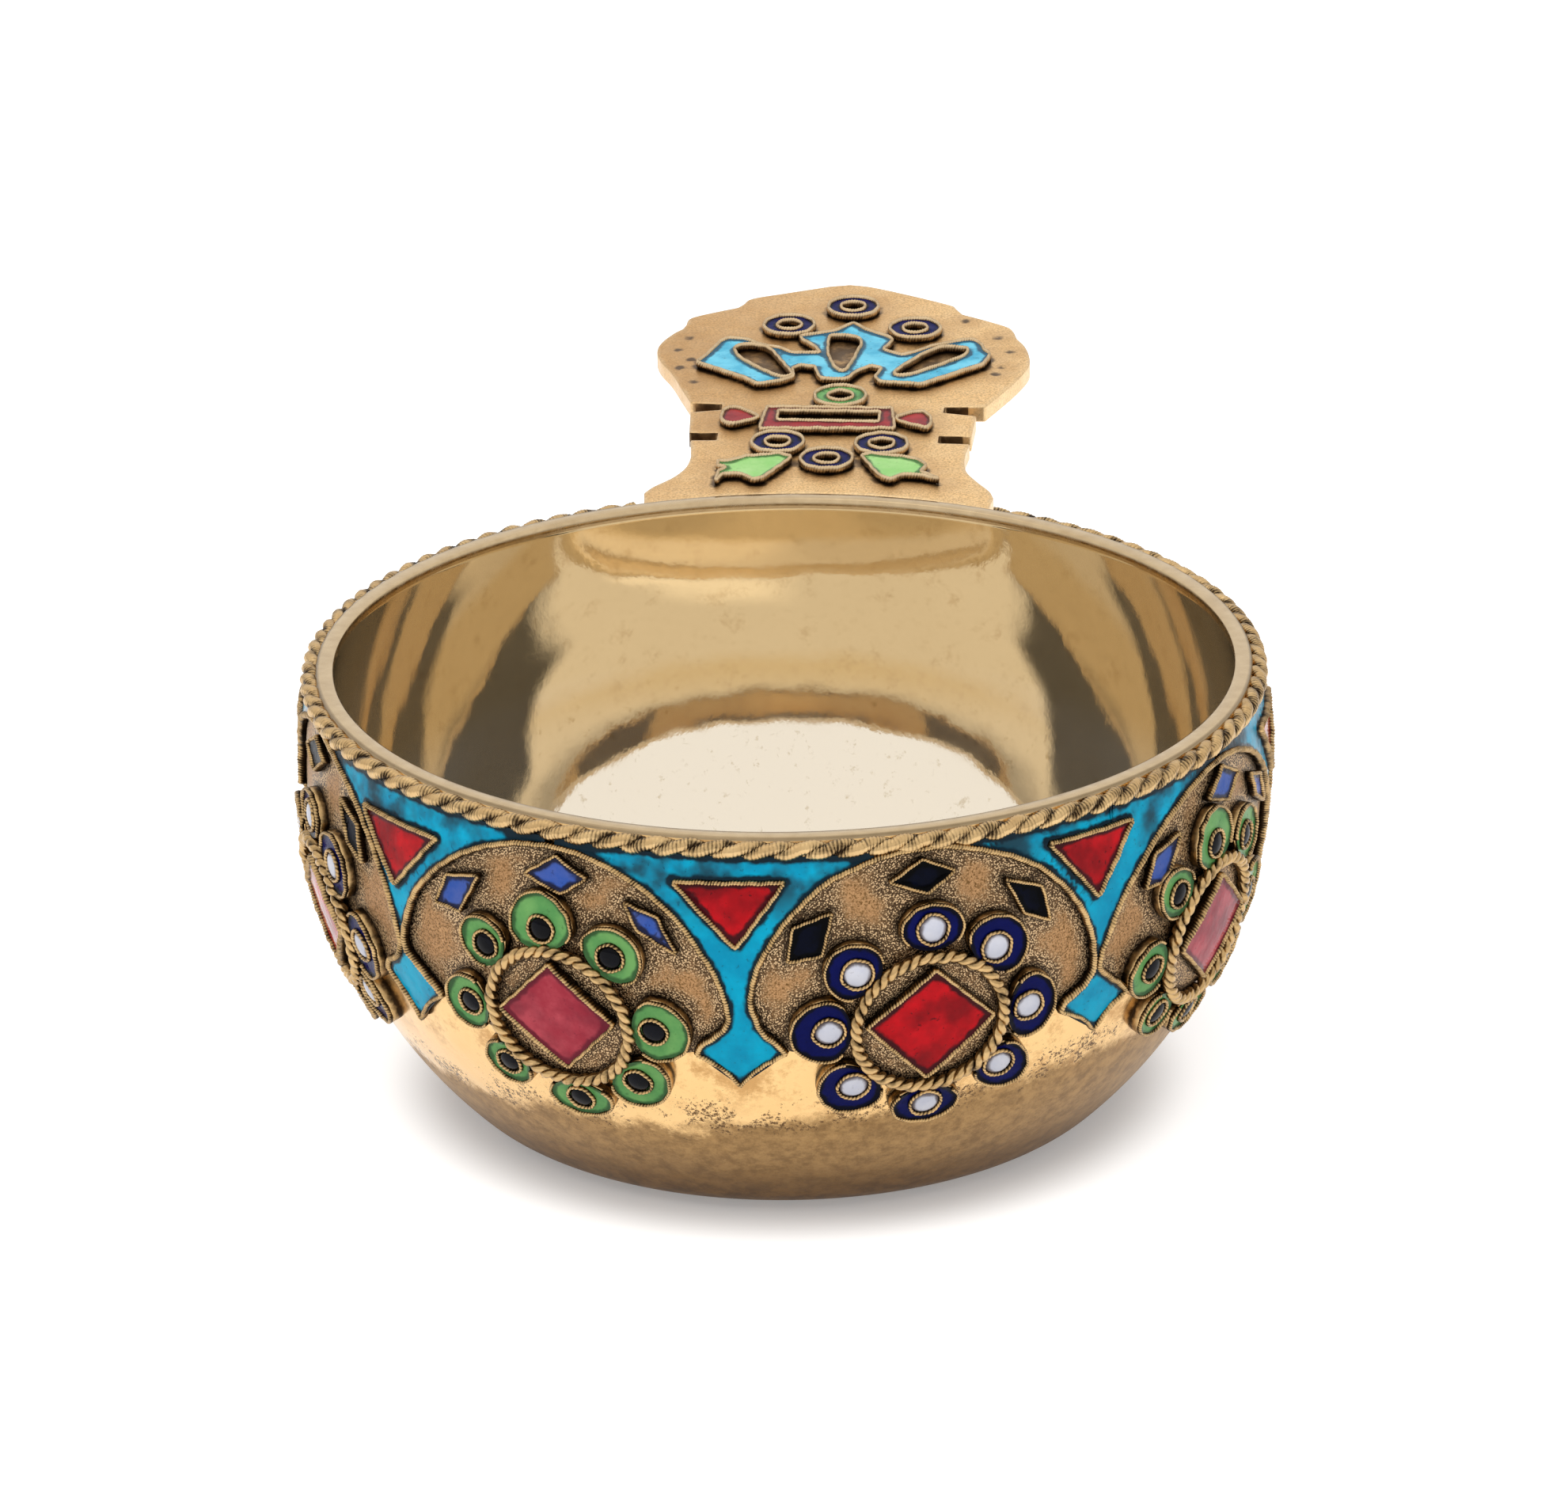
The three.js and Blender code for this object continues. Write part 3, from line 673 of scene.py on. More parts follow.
def tube(line, wide, high, closed, sides=8, twist=0.0, depth=0.1, core=None):
    """A wire along a line of flat points with heights. Its layout's x is 1 where it is rubbed bright
    and a highlight is painted, and 0 where dirt stays and shade is painted."""
    across, up = across_and_up(line, closed)
    length, total = lengths_along(line, closed)
    turn = 2 * np.pi * np.arange(sides) / sides
    crest = np.zeros((len(line), sides))
    if twist:
        pitch = total / max(1, round(total / twist))
        crest = np.cos(2 * (turn - np.pi * length[:, None] / pitch))
    swell = 1 + depth * crest
    points = (
        line[:, None] + across[:, None] * (wide * swell * np.cos(turn))[..., None]
        + up[:, None] * (high * swell * np.sin(turn))[..., None]
    )
    # Brighter high on the wire and on the outside of a rope's strands, darker at the foot and in the
    # twists: rubbing and dirt, with a painted highlight and painted shade.
    if core is None:
        lift = (points[..., 2] - line[:, None, 2] + high) / (2 * high)
        bright = np.clip(0.1 + 0.9 * lift, 0, 1) * (0.8 + 0.2 * crest)
    else:
        bright = np.linalg.norm(points - core[:, None], axis=2) / (2 * wide) + 0.08 * crest
    faces = quads(len(line), sides, closed)
    if not closed:
        last = (len(line) - 1) * sides
        faces += [list(range(sides)), list(range(last + sides - 1, last - 1, -1))]
    layout = np.stack([bright, np.broadcast_to(length[:, None], bright.shape)], 2)
    return points.reshape(-1, 3), faces, layout.reshape(-1, 2)


hand = np.random.default_rng(5)
bend_lengths = (2.6, 1.2)


def bent(line, closed, reach=0.03):
    """The line as a hand bends it: it strays by up to reach, in two soft waves."""
    along, total = lengths_along(line, closed)
    stray = np.zeros_like(line)
    for wave in bend_lengths:
        waves = max(1, round(total / wave))
        start = hand.uniform(0, 2 * np.pi, line.shape[1])
        stray += reach / 2 * np.sin(2 * np.pi * waves * along[:, None] / total + start)
    return line + stray


def wire(line, wide, low, high, closed=True, twist=0.22, step=0.065):
    """A twisted wire on edge, between two heights over a flat line."""
    line = even(line, step, closed)
    line = bent(np.column_stack([line, np.full(len(line), (low + high) / 2)]), closed)
    return tube(line, wide / 2, (high - low) / 2, closed, twist=twist)


def new_group(name, inputs, outputs):
    """A finish that several materials share: its group, what goes in and what comes out."""
    group = bpy.data.node_groups.new(name, "ShaderNodeTree")
    for way, sockets in (("INPUT", inputs), ("OUTPUT", outputs)):
        for title, kind in sockets.items():
            group.interface.new_socket(title, in_out=way, socket_type="NodeSocket" + kind)
    start = group.nodes.new("NodeGroupInput").outputs
    given = {title: Value(start[title]) for title in inputs}
    return group, given, group.nodes.new("NodeGroupOutput").inputs


rubbed_and_lit, given, result = new_group(
    "rubbed_and_lit_wire",
    {"Place": "Vector", "Bright": "Float", "Speck Scale": "Float", "Specks": "Float",
     "Light Level": "Float", "Dark Level": "Float", "Metal": "Color", "Other Metal": "Color", "Dirt And Shade": "Color"},
    {"Color": "Color", "Roughness": "Float", "Normal": "Vector"},
)
place = given["Place"]
speckle = (noise(place, given["Speck Scale"], 5, 0.6) - 0.5) * given["Specks"]
bright = given["Bright"] + speckle + remap(noise(place, 480, 2), 0.45, 0.65, 0, 0.12)
colour = mix(noise(place, 700), given["Metal"], given["Other Metal"])
# Dark below the dark level and bright above the light level: dirt and rubbing, with painted shade and
# a painted highlight.
connect({
    "Color": mix(remap(bright, given["Light Level"], given["Dark Level"]), colour, given["Dirt And Shade"]),
    "Roughness": remap(bright, 0.2, 0.8, 0.5, 0.3),
    "Normal": bump(noise(place, 5000), 0.25, 0.00005),
}, result)


def wire_metal(name, metal, other, dirt_and_shade, light_level, dark_level, speck_scale, specks=1.0):
    """A wire's finish: bright where it is rubbed, with a painted highlight, and dark with dirt and
    painted shade below its light level.
    """
    made, shader, place = new_material(name)
    look = node(place.tree, "Group", {
        "Place": place, "Bright": layout_in(place.tree), "Metal": tone(*metal),
        "Other Metal": tone(*other), "Dirt And Shade": tone(*dirt_and_shade), "Light Level": light_level, "Dark Level": dark_level,
        "Speck Scale": speck_scale, "Specks": specks,
    }, node_tree=rubbed_and_lit).outputs
    finish_metal(shader, *(Value(look[title]) for title in ("Color", "Roughness", "Normal")))
    return made, "gilt_wire"


gilt_wire = wire_metal(
    "twisted_wire", (170, 136, 88), (216, 182, 130), (50, 38, 26),
    light_level=0.94, dark_level=0.44, speck_scale=1500,
)

for number, kind, ground, _ in medallions:
    wires = [wire(arch_middle(kind), wide=0.48, low=0, high=0.72, closed=False)]
    for diamond in kind["diamonds"]:
        line = rounded(shrunk(diamond, 0.18), 0.15)
        wires.append(wire(line, wide=0.3, low=0, high=0.68))
    piece(f"arch_wires_{number}", wires, on_wall(*ground), gilt_wire, f"arch_wire_{number}")


# The enamels: glass melted in the cells, a little hollow beside the wires, and darker there.
# Opaque ones are even in colour, and the reds are clear over the silver, with dark specks.

molten, given, result = new_group(
    "melted_glass",
    {"Place": "Vector", "Gap": "Float", "Body": "Color", "Other": "Color", "Border": "Color",
     "Reach": "Float", "Specks": "Float", "Smoke": "Float", "Smoke Color": "Color"},
    {"Color": "Color", "Normal": "Vector"},
)
place = given["Place"]
colour = mix(remap(noise(place, 420, 4, 0.6), 0.32, 0.68), given["Body"], given["Other"])
smoke = remap(noise(place, 360), 0.38, 0.66) * given["Smoke"]
colour = mix(smoke, colour, given["Smoke Color"])
drift = given["Gap"] + (noise(place, 1100, 4) - 0.5) * 0.6
border = remap(drift, given["Reach"] + 0.2, given["Reach"] - 0.05)
colour = mix(border, colour, given["Border"])
specks = remap(noise(place, 2300, 3, 0.6), 0.62, 0.7) * given["Specks"]
wavy = bump(noise(place, 900, 2), 0.25, 0.0002)
connect({
    "Color": mix(specks, colour, given["Border"]),
    "Normal": bump(noise(place, 4000), 0.1, 0.00004, wavy),
}, result)


def enamel(name, slot, body, other, border, reach=0.3, specks=0.0, smoke=0.0, smoke_colour=None,
           shine=0.1, roughness=0.16):
    """An enamel of two close tones, with its darker border, some dark specks and smoke."""
    made, shader, place = new_material("enamel_" + name)
    look = node(place.tree, "Group", {
        "Place": place, "Gap": layout_in(place.tree), "Body": tone(*body), "Other": tone(*other),
        "Border": tone(*border), "Reach": reach, "Specks": specks, "Smoke": smoke,
        "Smoke Color": tone(*(smoke_colour or border)),
    }, node_tree=molten).outputs
    connect({"Base Color": Value(look["Color"]), "Normal": Value(look["Normal"])}, shader.inputs)
    shader.inputs["Roughness"].default_value = roughness
    shader.inputs["IOR"].default_value = 1.45
    shader.inputs["Specular IOR Level"].default_value = shine
    return made, "enamel_" + slot


black = enamel("black", "navy", (5, 6, 10), (8, 12, 30), (4, 4, 5), shine=0.04, roughness=0.1)
royal = enamel(
    "royal", "sky", (48, 86, 172), (80, 100, 172), (32, 34, 60), reach=0.24, specks=0.4
)
blue["diamond_enamel"], green["diamond_enamel"] = black, royal
for number, kind, ground, _ in medallions:
    sheets = [
        field(rounded(shrunk(diamond, 0.25), 0.15), 0.4, hollow(0.42, reach=0.15))
        for diamond in kind["diamonds"]
    ]
    piece(f"diamonds_{number}", sheets, on_wall(*ground), kind["diamond_enamel"])


# The flowers: eight petals round each medallion's ring, each a cell of blue or green enamel
# bordered by a twisted wire on edge, with a domed dot of white or black in its own wire collar.

def skirt(*loops):
    """A smooth wall through closed lines of as many points, each at its height."""
    count = len(loops[0][0])
    points = np.vstack([np.column_stack([line, np.full(count, up)]) for line, up, _ in loops])
    shine = np.repeat([shine for _, _, shine in loops], count)
    faces = [face[:1] + face[:0:-1] for face in quads(len(loops), count, False)]
    return points, faces, np.column_stack([shine, points[:, 1]])


def dome(middle, radius, low, rise):
    """A small domed drop of enamel."""
    form = bmesh.new()
    bmesh.ops.create_uvsphere(form, u_segments=24, v_segments=12, radius=radius)
    bmesh.ops.bisect_plane(
        form, geom=form.verts[:] + form.edges[:] + form.faces[:], dist=1e-4,
        plane_co=(0, 0, 0), plane_no=(0, 0, 1), clear_inner=True,
    )
    bmesh.ops.scale(form, verts=form.verts, vec=(1, 1, rise / radius))
    bmesh.ops.translate(form, verts=form.verts, vec=(*middle, low))
    return taken(form, [circle(*middle, radius)])


navy = enamel(
    "navy", "navy", (8, 14, 76), (14, 20, 90), (8, 8, 26), reach=0.2, specks=0.3, shine=0.05
)
leafy = enamel(
    "green", "green", (92, 156, 88), (120, 178, 102), (58, 98, 54), reach=0.2, specks=0.35
)
white = enamel(
    "white", "navy", (222, 222, 230), (206, 208, 222), (120, 112, 116), reach=0.1, specks=0.2
)
jet = enamel("jet", "green", (6, 6, 9), (12, 13, 22), (4, 4, 4), reach=0.1)
blue.update(petals="navy", petal_enamel=navy, dot_enamel=white, collar=1.1)
green.update(petals="green", petal_enamel=leafy, dot_enamel=jet, collar=0.98)
# Each step of a petal's outer wire is a trim, a height and a brightness: dark at the foot with dirt
# and painted shade, and light higher up, rubbed and with a painted highlight.
edge_steps = (
    (0, 0, 0.3), (0.02, 0.3, 0.62), (0.05, 0.6, 0.85), (0.1, 0.7, 0.9), (0.26, 0.72, 0.5)
)
for number, kind, _, flower in medallions:
    place = on_wall(*flower)
    wires, sheets, dots = [], [], []
    for dot, reach in zip(kind["dots"], kind["reach"]):
        edge = ((petal(dot, reach, trim), up, shine) for trim, up, shine in edge_steps)
        wires.append(skirt(*edge))
        line = petal(dot, reach, trim=0.18, end=128)
        wires.append(wire(line, wide=0.24, low=0.5, high=1.0, closed=False))
        line = circle(*dot, kind["collar"], 24)
        wires.append(wire(line, wide=0.27, low=0.5, high=0.98, twist=0.3, step=0.075))
        glass = petal(dot, reach, trim=0.22)
        sheets.append(field(glass, 0.45, hollow(0.7, rise=0.12, reach=0.15)))
        dots.append(dome(dot, kind["collar"] - 0.14, low=0.7, rise=0.28))
    piece(f"petal_wires_{number}", wires, place, gilt_wire)
    name = f"petal_{kind['petals']}_{number}"
    piece(name, sheets, place, kind["petal_enamel"], f"petals_{number}")
    piece(f"petal_dots_{number}", dots, place, kind["dot_enamel"])


# The rings: two thick strands laid together as a rope, one round the middle of each flower,
# with the same grained ground inside.

def rope(line, spacing, core, strand, closed, samples=10, sides=8, lay=0.0):
    """Two strands laid round each other along a line of points with heights. Each may have a
    fine lay of its own."""
    total = lengths_along(line, closed)[1]
    crests = 2 * round(total / spacing / 2)
    line = even(line, total / crests / samples, closed)
    across, up = across_and_up(line, closed)
    steps = len(line) if closed else len(line) - 1
    turn = np.pi * crests * np.arange(len(line))[:, None] / steps
    parts = []
    for start in (0, np.pi):
        strand_line = line + core * (across * np.cos(turn + start) + up * np.sin(turn + start))
        parts.append(tube(strand_line, strand, strand, closed, sides, lay, 0.042, core=line))
    return parts


for number, kind, _, flower in medallions:
    x, y, radius = kind["ring"]
    place = on_wall(*flower)
    line = circle(x, y, radius)
    line = bent(np.column_stack([line, np.full(len(line), 0.8)]), True, reach=0.07)
    strands = rope(line, spacing=0.8, core=0.2, strand=0.28, closed=True)
    piece(f"ring_rope_{number}", strands, place, gilt_wire, f"medallion_rope_{number}")
    near = [circle(x, y, radius - 0.4), np.array(kind["frame"])]
    bed = field(circle(x, y, radius), 0.6, hollow(0.4, rise=0), near=near)
    piece(f"ring_ground_{number}", [bed], place, grained)


# The panels: a square of clear red enamel on its corner in the middle of each ring, in a tall
# frame of twisted wire. Those between green petals are of a rosier red.

ruby = enamel(
    "ruby", "red", (214, 13, 27), (178, 8, 20), (66, 6, 14), specks=0.7, smoke=0.55, roughness=0.07
)
rose = enamel(
    "rose", "rose", (198, 78, 90), (168, 48, 64), (112, 26, 44),
    specks=0.35, smoke=0.6, roughness=0.07,
)
blue["panel_enamel"], green["panel_enamel"] = ruby, rose
for number, kind, _, flower in medallions:
    place = on_wall(*flower)
    corners = np.array(kind["frame"])
    glass = field(rounded(shrunk(corners, 0.1), 0.2), 0.5, hollow(0.96, rise=0.08))
    piece(f"panel_{number}", [glass], place, kind["panel_enamel"], f"red_panel_{number}")
    frame_wire = wire(rounded(corners, 0.2), wide=0.34, low=0.3, high=1.24)
    piece(f"panel_frame_{number}", [frame_wire], place, gilt_wire)


# The turquoise fields: the space between two arches, from the rope down to a spear's point.
# Its enamel is stained dark near the rope. A clear red triangle hangs in each field.

spears = {0: (-0.09, 18.84), 1: (0.43, 18.14), 7: (-0.58, 18.92)}
triangles = {
    0: [(-4.62, 2.99), (-0.05, 7.94), (3.52, 2.81)],
    1: [(-4.87, 2.38), (-0.75, 7.45), (2.94, 2.43)],
    7: [(-4.61, 3.28), (-0.42, 8.31), (4.13, 3.32)],
}
field_depth, top_depth = 12.0, 1.2
field_top = field_depth - top_depth

turquoise = enamel(
    "turquoise", "turquoise", (0, 178, 216), (0, 150, 190), (12, 36, 48),
    reach=0.36, specks=0.4, smoke_colour=(28, 70, 86),
)
tree = turquoise[0].node_tree
connect({"Smoke": remap(layout_in(tree, "Y"), 4.4, 9.4)}, tree.nodes["Group"].inputs)


def seen_from(axis, medallion):
    """A medallion's arch in the x and y of the field whose axis is given."""
    _, kind, (angle, depth), _ = medallion
    line = arch_middle(kind)
    down = depth - line[:, 1]
    out = wall_at(down, 0)[0]
    turn = (angle + line[:, 0] / out - axis + np.pi) % (2 * np.pi) - np.pi
    return np.column_stack([turn * out, field_depth - down])


for index in range(medallion_count):
    axis = math.radians(360 / medallion_count * index + turn_back)
    left_side, right_side = (seen_from(axis, medallions[place]) for place in (index - 1, index))
    left_side = left_side[np.argmax(left_side[:, 1]) + 1 :]
    right_side = right_side[: np.argmax(right_side[:, 1])]
    left_side, right_side = (side[side[:, 1] < field_top] for side in (left_side, right_side))
    tip_x, tip_depth = spears.get(index, (chance.normal(0, 0.3), 18.6 + chance.normal(0, 0.2)))
    tip = np.array([(tip_x, field_depth - tip_depth)])
    across = np.linspace(right_side[-1, 0], left_side[0, 0], 12)
    across = np.column_stack([across, np.full(len(across), field_top)])
    border = np.vstack([tip, right_side, across, left_side])
    corners = triangles.get(index)
    if corners is None:
        middle = chance.normal(-0.3, 0.2)
        corners = [(middle - 4.3, 2.8), (middle, 7.8), (middle + 4.1, 2.8)]
    corners = np.array([(x, field_depth - depth) for x, depth in corners])
    place = on_wall(axis, field_depth)
    number = index + 1
    height = hollow(0.4, rise=0.12, reach=0.25)
    sheet = field(border, 0.4, height, holes=[shrunk(corners, 0.3)])
    piece(f"turquoise_{number}", [sheet], place, turquoise, f"spandrel_{number}")
    glass = field(rounded(shrunk(corners, 0.4), 0.2), 0.4, hollow(0.52))
    piece(f"triangle_{number}", [glass], place, ruby, f"red_triangle_{number}")
    left_bend = (left_side[-1] + tip[0]) / 2 + (0.25, 0.2)
    right_bend = (right_side[0] + tip[0]) / 2 + (-0.25, 0.2)
    left_curve = curved([left_side[-1], left_bend, tip[0]])
    right_curve = curved([tip[0], right_bend, right_side[0]])
    spear = np.vstack([left_curve, right_curve[1:]])
    wires = [
        wire(rounded(shrunk(corners, 0.3), 0.25), wide=0.4, low=0, high=0.85),
        wire(spear, wide=0.34, low=0, high=0.7, closed=False),
    ]
    piece(f"field_wires_{number}", wires, place, gilt_wire)


# The rope of the rim: two thick strands, each with a fine lay of its own, round the outside of
# the rim from one side of the handle to the other.

rope_middle, rope_height, rope_points = 33.28 + 0.42, 31.86, 400
opening_half, opening_out = 13.6, 34.2
end = np.pi - math.asin(opening_half / opening_out)
line = np.column_stack([
    rope_middle * np.linspace(-end, end, rope_points),
    np.full(rope_points, rope_height), np.zeros(rope_points),
])


def round_rim(points):
    """Sets points (length round the rim, height, distance out) round the bowl's axis."""
    turn = points[:, 0] / rope_middle
    out = rope_middle + points[:, 2]
    return np.column_stack([out * np.sin(turn), -out * np.cos(turn), points[:, 1]]) / 1000


rope_metal = wire_metal(
    "rope", (176, 140, 92), (228, 196, 144), (44, 32, 21), light_level=0.81, dark_level=0.44, speck_scale=900
)
line = bent(line, False, reach=0.05)
strands = rope(
    line, spacing=2.1, core=0.23, strand=0.46, closed=False, samples=40, sides=12, lay=0.23
)
piece("rim_rope_strands", strands, round_rim, rope_metal, "rim_rope")


# The handle: a flat plate sawn from thick gilt sheet, with a scalloped head and two pairs of slots at
# its neck, soldered to the rim. Its face is finely grained and dark round the wires. Painted shade
# spreads round the ornaments and fills its slots, a painted sheen makes it lighter towards the right
# and the rim, and its edges are paler, worn and with a painted highlight.

handle_tilt, plate_thick = math.radians(2.8), 1.3


def on_handle(points):
    """Sets flat points (x across, y out from the bowl's axis, height) on the handle's face."""
    out, up = points[:, 1] - rim_radius, points[:, 2]
    return np.column_stack([
        points[:, 0],
        rim_radius + out * math.cos(handle_tilt) - up * math.sin(handle_tilt),
        rim_height + out * math.sin(handle_tilt) + up * math.cos(handle_tilt),
    ]) / 1000


right_half = np.vstack([
    curved([(13.1, -0.4), (12.75, 0.85), (11.75, 2.6), (10.88, 4.4), (10.6, 6.2), (10.6, 8.0)]),
    [(10.8, 9.75), (8.4, 9.85), (8.4, 11.25), (10.85, 11.2), (11.0, 15.2), (8.5, 15.75), (8.5, 16.85)],
    curved([(11.6, 17.0), (12.85, 20.0), (13.9, 22.8), (14.55, 25.3), (14.45, 27.4), (14.0, 29.3),
            (13.35, 30.7)]),
    curved([(13.1, 31.9), (12.55, 33.0), (10.65, 34.4), (8.9, 35.5)]),
    curved([(8.3, 36.7), (7.8, 37.4), (4.6, 39.3), (1.5, 40.9), (-0.3, 41.35)]),
])
left_half = np.vstack([
    curved([(-13.0, -0.4), (-12.4, 0.8), (-11.1, 2.6), (-10.3, 4.5), (-10.08, 6.4), (-10.15, 8.0)]),
    [(-10.35, 9.75), (-8.4, 9.85), (-8.4, 11.25), (-10.55, 11.2), (-10.8, 15.2), (-8.5, 15.75),
     (-8.5, 16.85)],
    curved([(-10.9, 17.0), (-11.85, 19.8), (-12.85, 22.8), (-13.9, 25.2), (-14.35, 27.2),
            (-14.15, 29.0), (-13.4, 30.8), (-12.75, 31.8)]),
    curved([(-12.55, 32.6), (-12.3, 34.0), (-10.6, 35.25), (-8.8, 36.3)]),
    curved([(-8.4, 37.0), (-7.8, 38.2), (-5.2, 39.45), (-1.9, 40.95)]),
])[::-1]
root_radius, root_angle = 33.29, 0.395
root = [
    (root_radius * math.sin(angle), root_radius * (math.cos(angle) - 1))
    for angle in np.linspace(-root_angle, root_angle, 41)
]
plate_line = even(np.vstack([right_half, left_half, root]) + (0.15, rim_radius), 0.22, True)

crown = np.array([
    (-10.98, 57.19), (-10.22, 59.13), (-9.49, 61.56), (-8.82, 62.39), (-7.26, 62.12),
    (-6.13, 61.03), (-4.49, 60.45), (-3.69, 59.52), (-1.55, 59.59), (-2.19, 60.85),
    (-3.13, 61.94), (-3.44, 62.9), (-2.12, 63.43), (-0.63, 64.12), (-0.01, 64.96), (0.74, 65.79),
    (2.01, 64.22), (3.1, 63.45), (3.74, 62.98), (4.1, 62.19), (3.48, 60.24), (4.88, 59.33),
    (5.76, 60.0), (6.92, 61.16), (8.4, 62.02), (9.29, 62.53), (10.2, 62.72), (11.0, 61.63),
    (11.23, 60.67), (11.77, 59.57), (11.38, 57.65), (6.76, 53.38), (3.4, 53.74), (2.91, 54.82),
    (3.34, 56.58), (2.6, 56.87), (1.74, 55.89), (1.22, 54.6), (0.64, 54.11), (-1.13, 54.21),
    (-1.57, 55.3), (-1.77, 56.56), (-2.89, 56.84), (-3.27, 56.19), (-3.05, 54.77), (-3.89, 53.8),
    (-5.36, 53.11), (-6.09, 53.09), (-6.96, 54.16),
])[::-1]
tears = [
    np.array([(-0.99, 62.18), (-0.5, 63.0), (1.0, 62.73), (1.56, 61.62), (1.38, 59.69),
              (0.8, 56.33), (0.08, 56.15), (-0.77, 58.82)])[::-1],
    np.array([(-8.14, 60.0), (-7.59, 60.82), (-6.55, 60.86), (-5.45, 60.1), (-4.13, 57.11),
              (-3.38, 55.08), (-4.25, 54.57), (-5.89, 56.1), (-7.58, 58.26)])[::-1],
    np.array([(9.83, 60.46), (9.07, 60.92), (7.85, 60.88), (6.81, 59.88), (5.58, 57.92),
              (4.5, 55.67), (5.14, 55.06), (6.6, 56.06), (9.48, 59.01)]),
]
leaves = [
    np.array([(-2.12, 39.03), (-2.98, 37.03), (-4.18, 34.74), (-4.88, 34.56), (-5.85, 35.58),
              (-7.03, 35.54), (-7.71, 34.31), (-7.61, 36.12), (-7.14, 36.89), (-7.81, 37.16),
              (-7.76, 38.07), (-6.83, 38.26), (-5.81, 39.05), (-3.18, 39.75)])[::-1],
    np.array([(2.86, 39.51), (3.71, 37.27), (4.66, 35.36), (5.46, 34.94), (6.29, 35.86),
              (7.78, 35.77), (9.06, 35.07), (8.67, 35.65), (7.73, 36.67), (8.08, 37.73),
              (7.42, 38.92), (6.07, 39.47), (3.66, 39.99)]),
]
oblong = np.array([(-4.86, 48.75), (-5.13, 44.26), (5.23, 44.63), (4.79, 48.78)])
oblong_slot = np.array([(-3.92, 48.0), (-3.85, 46.1), (3.9, 46.0), (3.85, 48.0)])
drops = [
    np.array([(-5.37, 46.72), (-7.0, 48.37), (-7.84, 48.18), (-8.11, 47.09), (-7.96, 45.86),
              (-7.19, 45.27), (-6.32, 45.76)]),
    np.array([(5.17, 46.63), (6.46, 48.07), (7.25, 47.94), (7.8, 46.72), (7.65, 45.18),
              (6.81, 45.3)])[::-1],
]
rings = {
    "top": (0.47, 68.97), "left": (-4.27, 65.05), "right": (5.55, 64.7), "green": (0.63, 51.0),
    "lower_left": (-3.5, 41.9), "lower_right": (4.35, 41.8), "lowest": (0.4, 38.8),
}

plate_metal, shader, place = new_material("gilt_handle")
grain = noise(place, 6400, 3, 0.6)
# Lighter towards the right and towards the rim: a painted sheen.
cloud_and_painted_sheen = noise(place, 300, 5, 0.65) + place.part("X") * 55
cloud_and_painted_sheen = cloud_and_painted_sheen + remap(place.part("Y"), 0.046, 0.038, 0, 0.7)
colour = mix(cloud_and_painted_sheen, tone(220, 176, 118), tone(252, 212, 152))
colour = mix(remap(grain, 0.35, 0.72, 0, 0.6), colour, tone(158, 122, 80))
drift = (noise(place, 900, 4) - 0.5) * 0.7
from_edge = layout_in(place.tree, "Y") + drift
from_wires = layout_in(place.tree) + drift
# Paler along the plate's edges: worn gilding, and a painted highlight along the bevel.
colour = mix(remap(from_edge, 0.36, 0.02) * 0.4, colour, tone(228, 204, 166))
# Darker within about 2 mm of the ornaments: painted shade round them.
colour = mix(remap(from_wires, 2.4, 0.4, 0, 0.4), colour, tone(184, 142, 92))
colour = mix(remap(from_wires, 0.46, 0.1) * 0.9, colour, tone(68, 48, 30))
roughness = remap(noise(place, 800, 4), 0.3, 0.7, 0.32, 0.44)
finish_metal(shader, colour, roughness, bump(grain, 0.35, 0.00005))


def inside_of(points, loops):
    """Whether each point lies inside one of some closed lines."""
    hit = np.zeros(len(points), bool)
    x, y = points[:, :1], points[:, 1:2]
    for loop in loops:
        after = np.roll(loop, -1, 0)
        crosses = (loop[:, 1] > y) != (after[:, 1] > y)
        rise = after[:, 1] - loop[:, 1] + 1e-12
        at = loop[:, 0] + (y - loop[:, 1]) * (after[:, 0] - loop[:, 0]) / rise
        hit ^= (crosses & (x < at)).sum(1) % 2 == 1
    return hit


marks = [(-12.63, 60.73), (-11.38, 58.86), (-12.21, 57.08), (-10.83, 54.44), (-11.91, 63.17),
         (13.1, 61.15), (12.58, 58.1), (12.22, 56.66), (12.04, 64.0), (9.34, 67.3)]
bare = [*tears, oblong_slot, *(circle(x, y, 0.95, 24) for x, y in rings.values())]
ornaments = [crown, *leaves, oblong, *drops, *bare, *(circle(x, y, 0.1, 8) for x, y in marks)]
ornaments += [circle(x, y, 2.0, 24) for x, y in rings.values()]
form = bmesh.new()
face = form.faces.new([form.verts.new((x, y, 0)) for x, y in plate_line])
raised = bmesh.ops.extrude_face_region(form, geom=[face], use_keep_orig=True)["geom"]
raised = [part for part in raised if isinstance(part, bmesh.types.BMVert)]
bmesh.ops.translate(form, verts=raised, vec=(0, 0, -plate_thick))
bmesh.ops.recalc_face_normals(form, faces=form.faces)
rims = [edge for edge in form.edges if abs(edge.verts[0].co.z - edge.verts[1].co.z) < 0.01]
bmesh.ops.bevel(
    form, geom=rims, offset=0.13, affect="EDGES", segments=3, profile=0.5, material=-1,
    clamp_overlap=True,
)
bmesh.ops.triangulate(form, faces=[face for face in form.faces if len(face.verts) > 4])
cut_up(form, [face for face in form.faces if face.calc_center_median().z > -0.001], 0.45)
points, faces, layout = taken(form, [plate_line], near=ornaments)

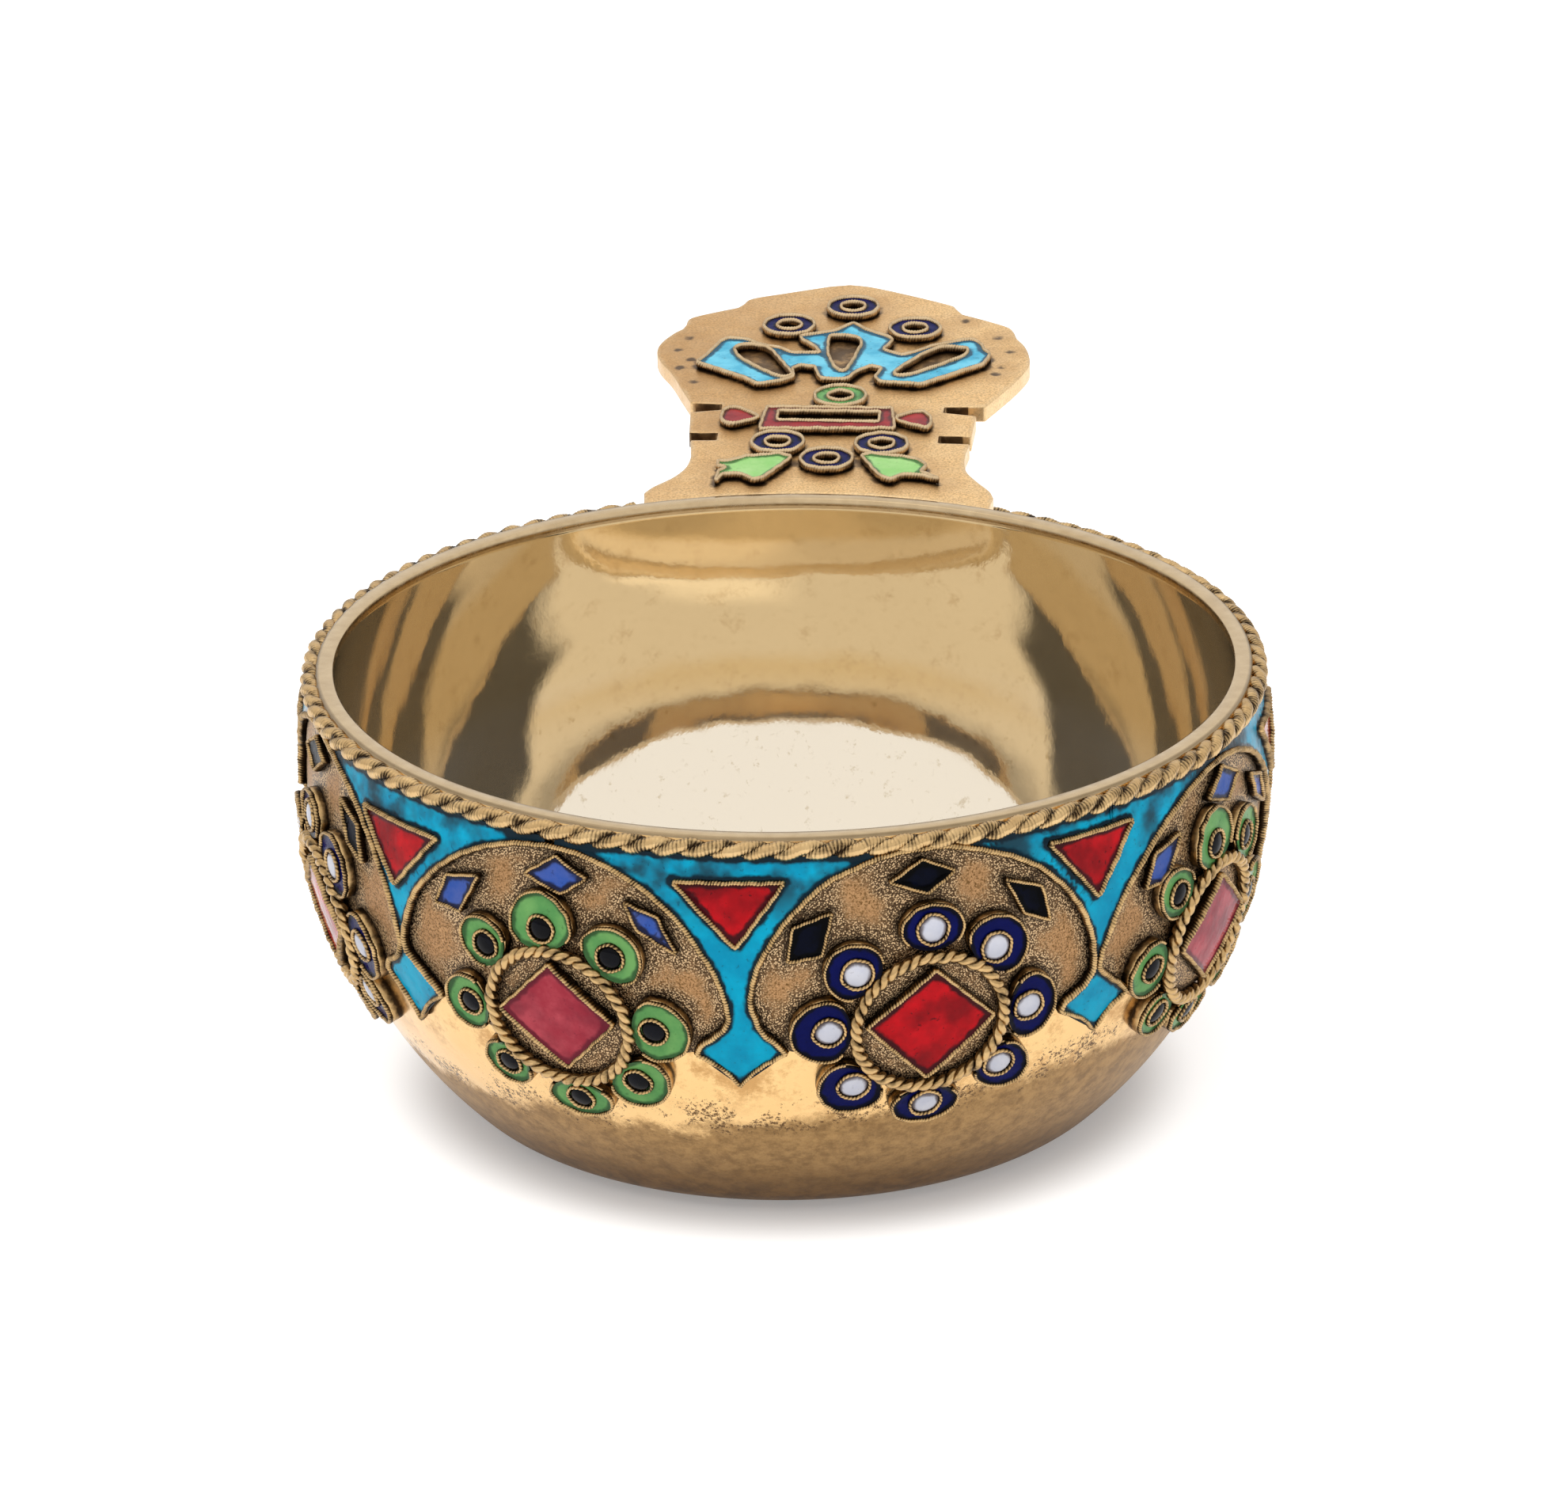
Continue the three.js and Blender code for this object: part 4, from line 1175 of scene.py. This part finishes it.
slots_out, slots_half_length, slots_half_width = 13.4, 3.8, 10.5
bare_gap, plain_gap = 0.16, 3
below = points[:, 2] < -0.05
sawn = below & (np.abs(points[:, 0]) < slots_half_width)
sawn &= np.abs(points[:, 1] - rim_radius - slots_out) < slots_half_length
layout[:, 1] = distance_to(points[:, :2], [plate_line])
layout[below, 0] = plain_gap
# The walls of the slots take the darkest tone as painted shade, and the bare plate inside the tears
# and rings is darkest too.
layout[sawn | inside_of(points[:, :2], bare) & ~below, 0] = bare_gap
piece("handle", [(points, faces, layout)], on_handle, (plate_metal, "gilt_silver"), "handle_plate")


# The ornament on the handle: cells of enamel in the same twisted wire. A blue crown with three
# bare drops, an oblong frame with a drop at each end, two fishtail leaves, and seven rings.

pale_wire = wire_metal(
    "pale_wire", (200, 170, 130), (228, 204, 166), (68, 51, 34),
    light_level=0.69, dark_level=0.19, speck_scale=2400, specks=0.85,
)
wine = enamel(
    "wine", "red", (176, 50, 54), (128, 40, 46), (88, 40, 40), reach=0.2, specks=0.3
)
sky = enamel("sky", "sky", (64, 172, 208), (118, 212, 238), (46, 92, 116), specks=0.5)
lime = enamel(
    "leaf", "leaf", (148, 208, 118), (172, 220, 140), (78, 118, 64), reach=0.22, specks=0.2
)


def ornament(name, wires, sheets, finish, *nodes):
    """Enamel in its cells on the handle. Each wire is a line, its width and its height."""
    wires = [wire(line, wide, 0, high) for line, wide, high in wires]
    piece(name.format("wires"), wires, on_handle, pale_wire)
    piece(name.format("enamel"), sheets, on_handle, finish, *nodes)


tear_lines, drop_lines = ([curved(line, True) for line in lines] for lines in (tears, drops))
wires = [(rounded(inset(crown, 0.14), 0.3), 0.3, 0.62)]
wires += [(line, 0.3, 0.66) for line in tear_lines]
sheet = field(inset(crown, 0.2), 0.35, hollow(0.36, rise=0.08), holes=tear_lines)
ornament("crown_{}", wires, [sheet], sky, "handle_crown")

wires = [(rounded(inset(oblong, 0.14), 0.3), 0.3, 0.62), (rounded(oblong_slot, 0.3), 0.28, 0.6)]
wires += [(line, 0.3, 0.62) for line in drop_lines]
sheets = [field(inset(oblong, 0.2), 0.4, hollow(0.36), holes=[oblong_slot])]
sheets += [field(line, 0.4, hollow(0.38, rise=0)) for line in drop_lines]
ornament("frame_{}", wires, sheets, wine, "handle_red_frame")

wires = [(rounded(inset(leaf, 0.12), 0.2), 0.3, 0.62) for leaf in leaves]
sheets = [field(inset(leaf, 0.2), 0.4, hollow(0.36)) for leaf in leaves]
ornament("leaf_{}", wires, sheets, lime, "handle_leaf_spray")

for name, (x, y) in rings.items():
    wires = [(circle(x, y, 1.96), 0.3, 0.66), (circle(x, y, 0.95), 0.28, 0.64)]
    hole = circle(x, y, 0.95, 40)
    sheet = field(circle(x, y, 1.98), 0.35, hollow(0.38, rise=0.08), holes=[hole])
    nodes = [] if name == "lowest" else [f"handle_ring_{name}"]
    ornament("ring_{}_" + name, wires, [sheet], leafy if name == "green" else navy, *nodes)
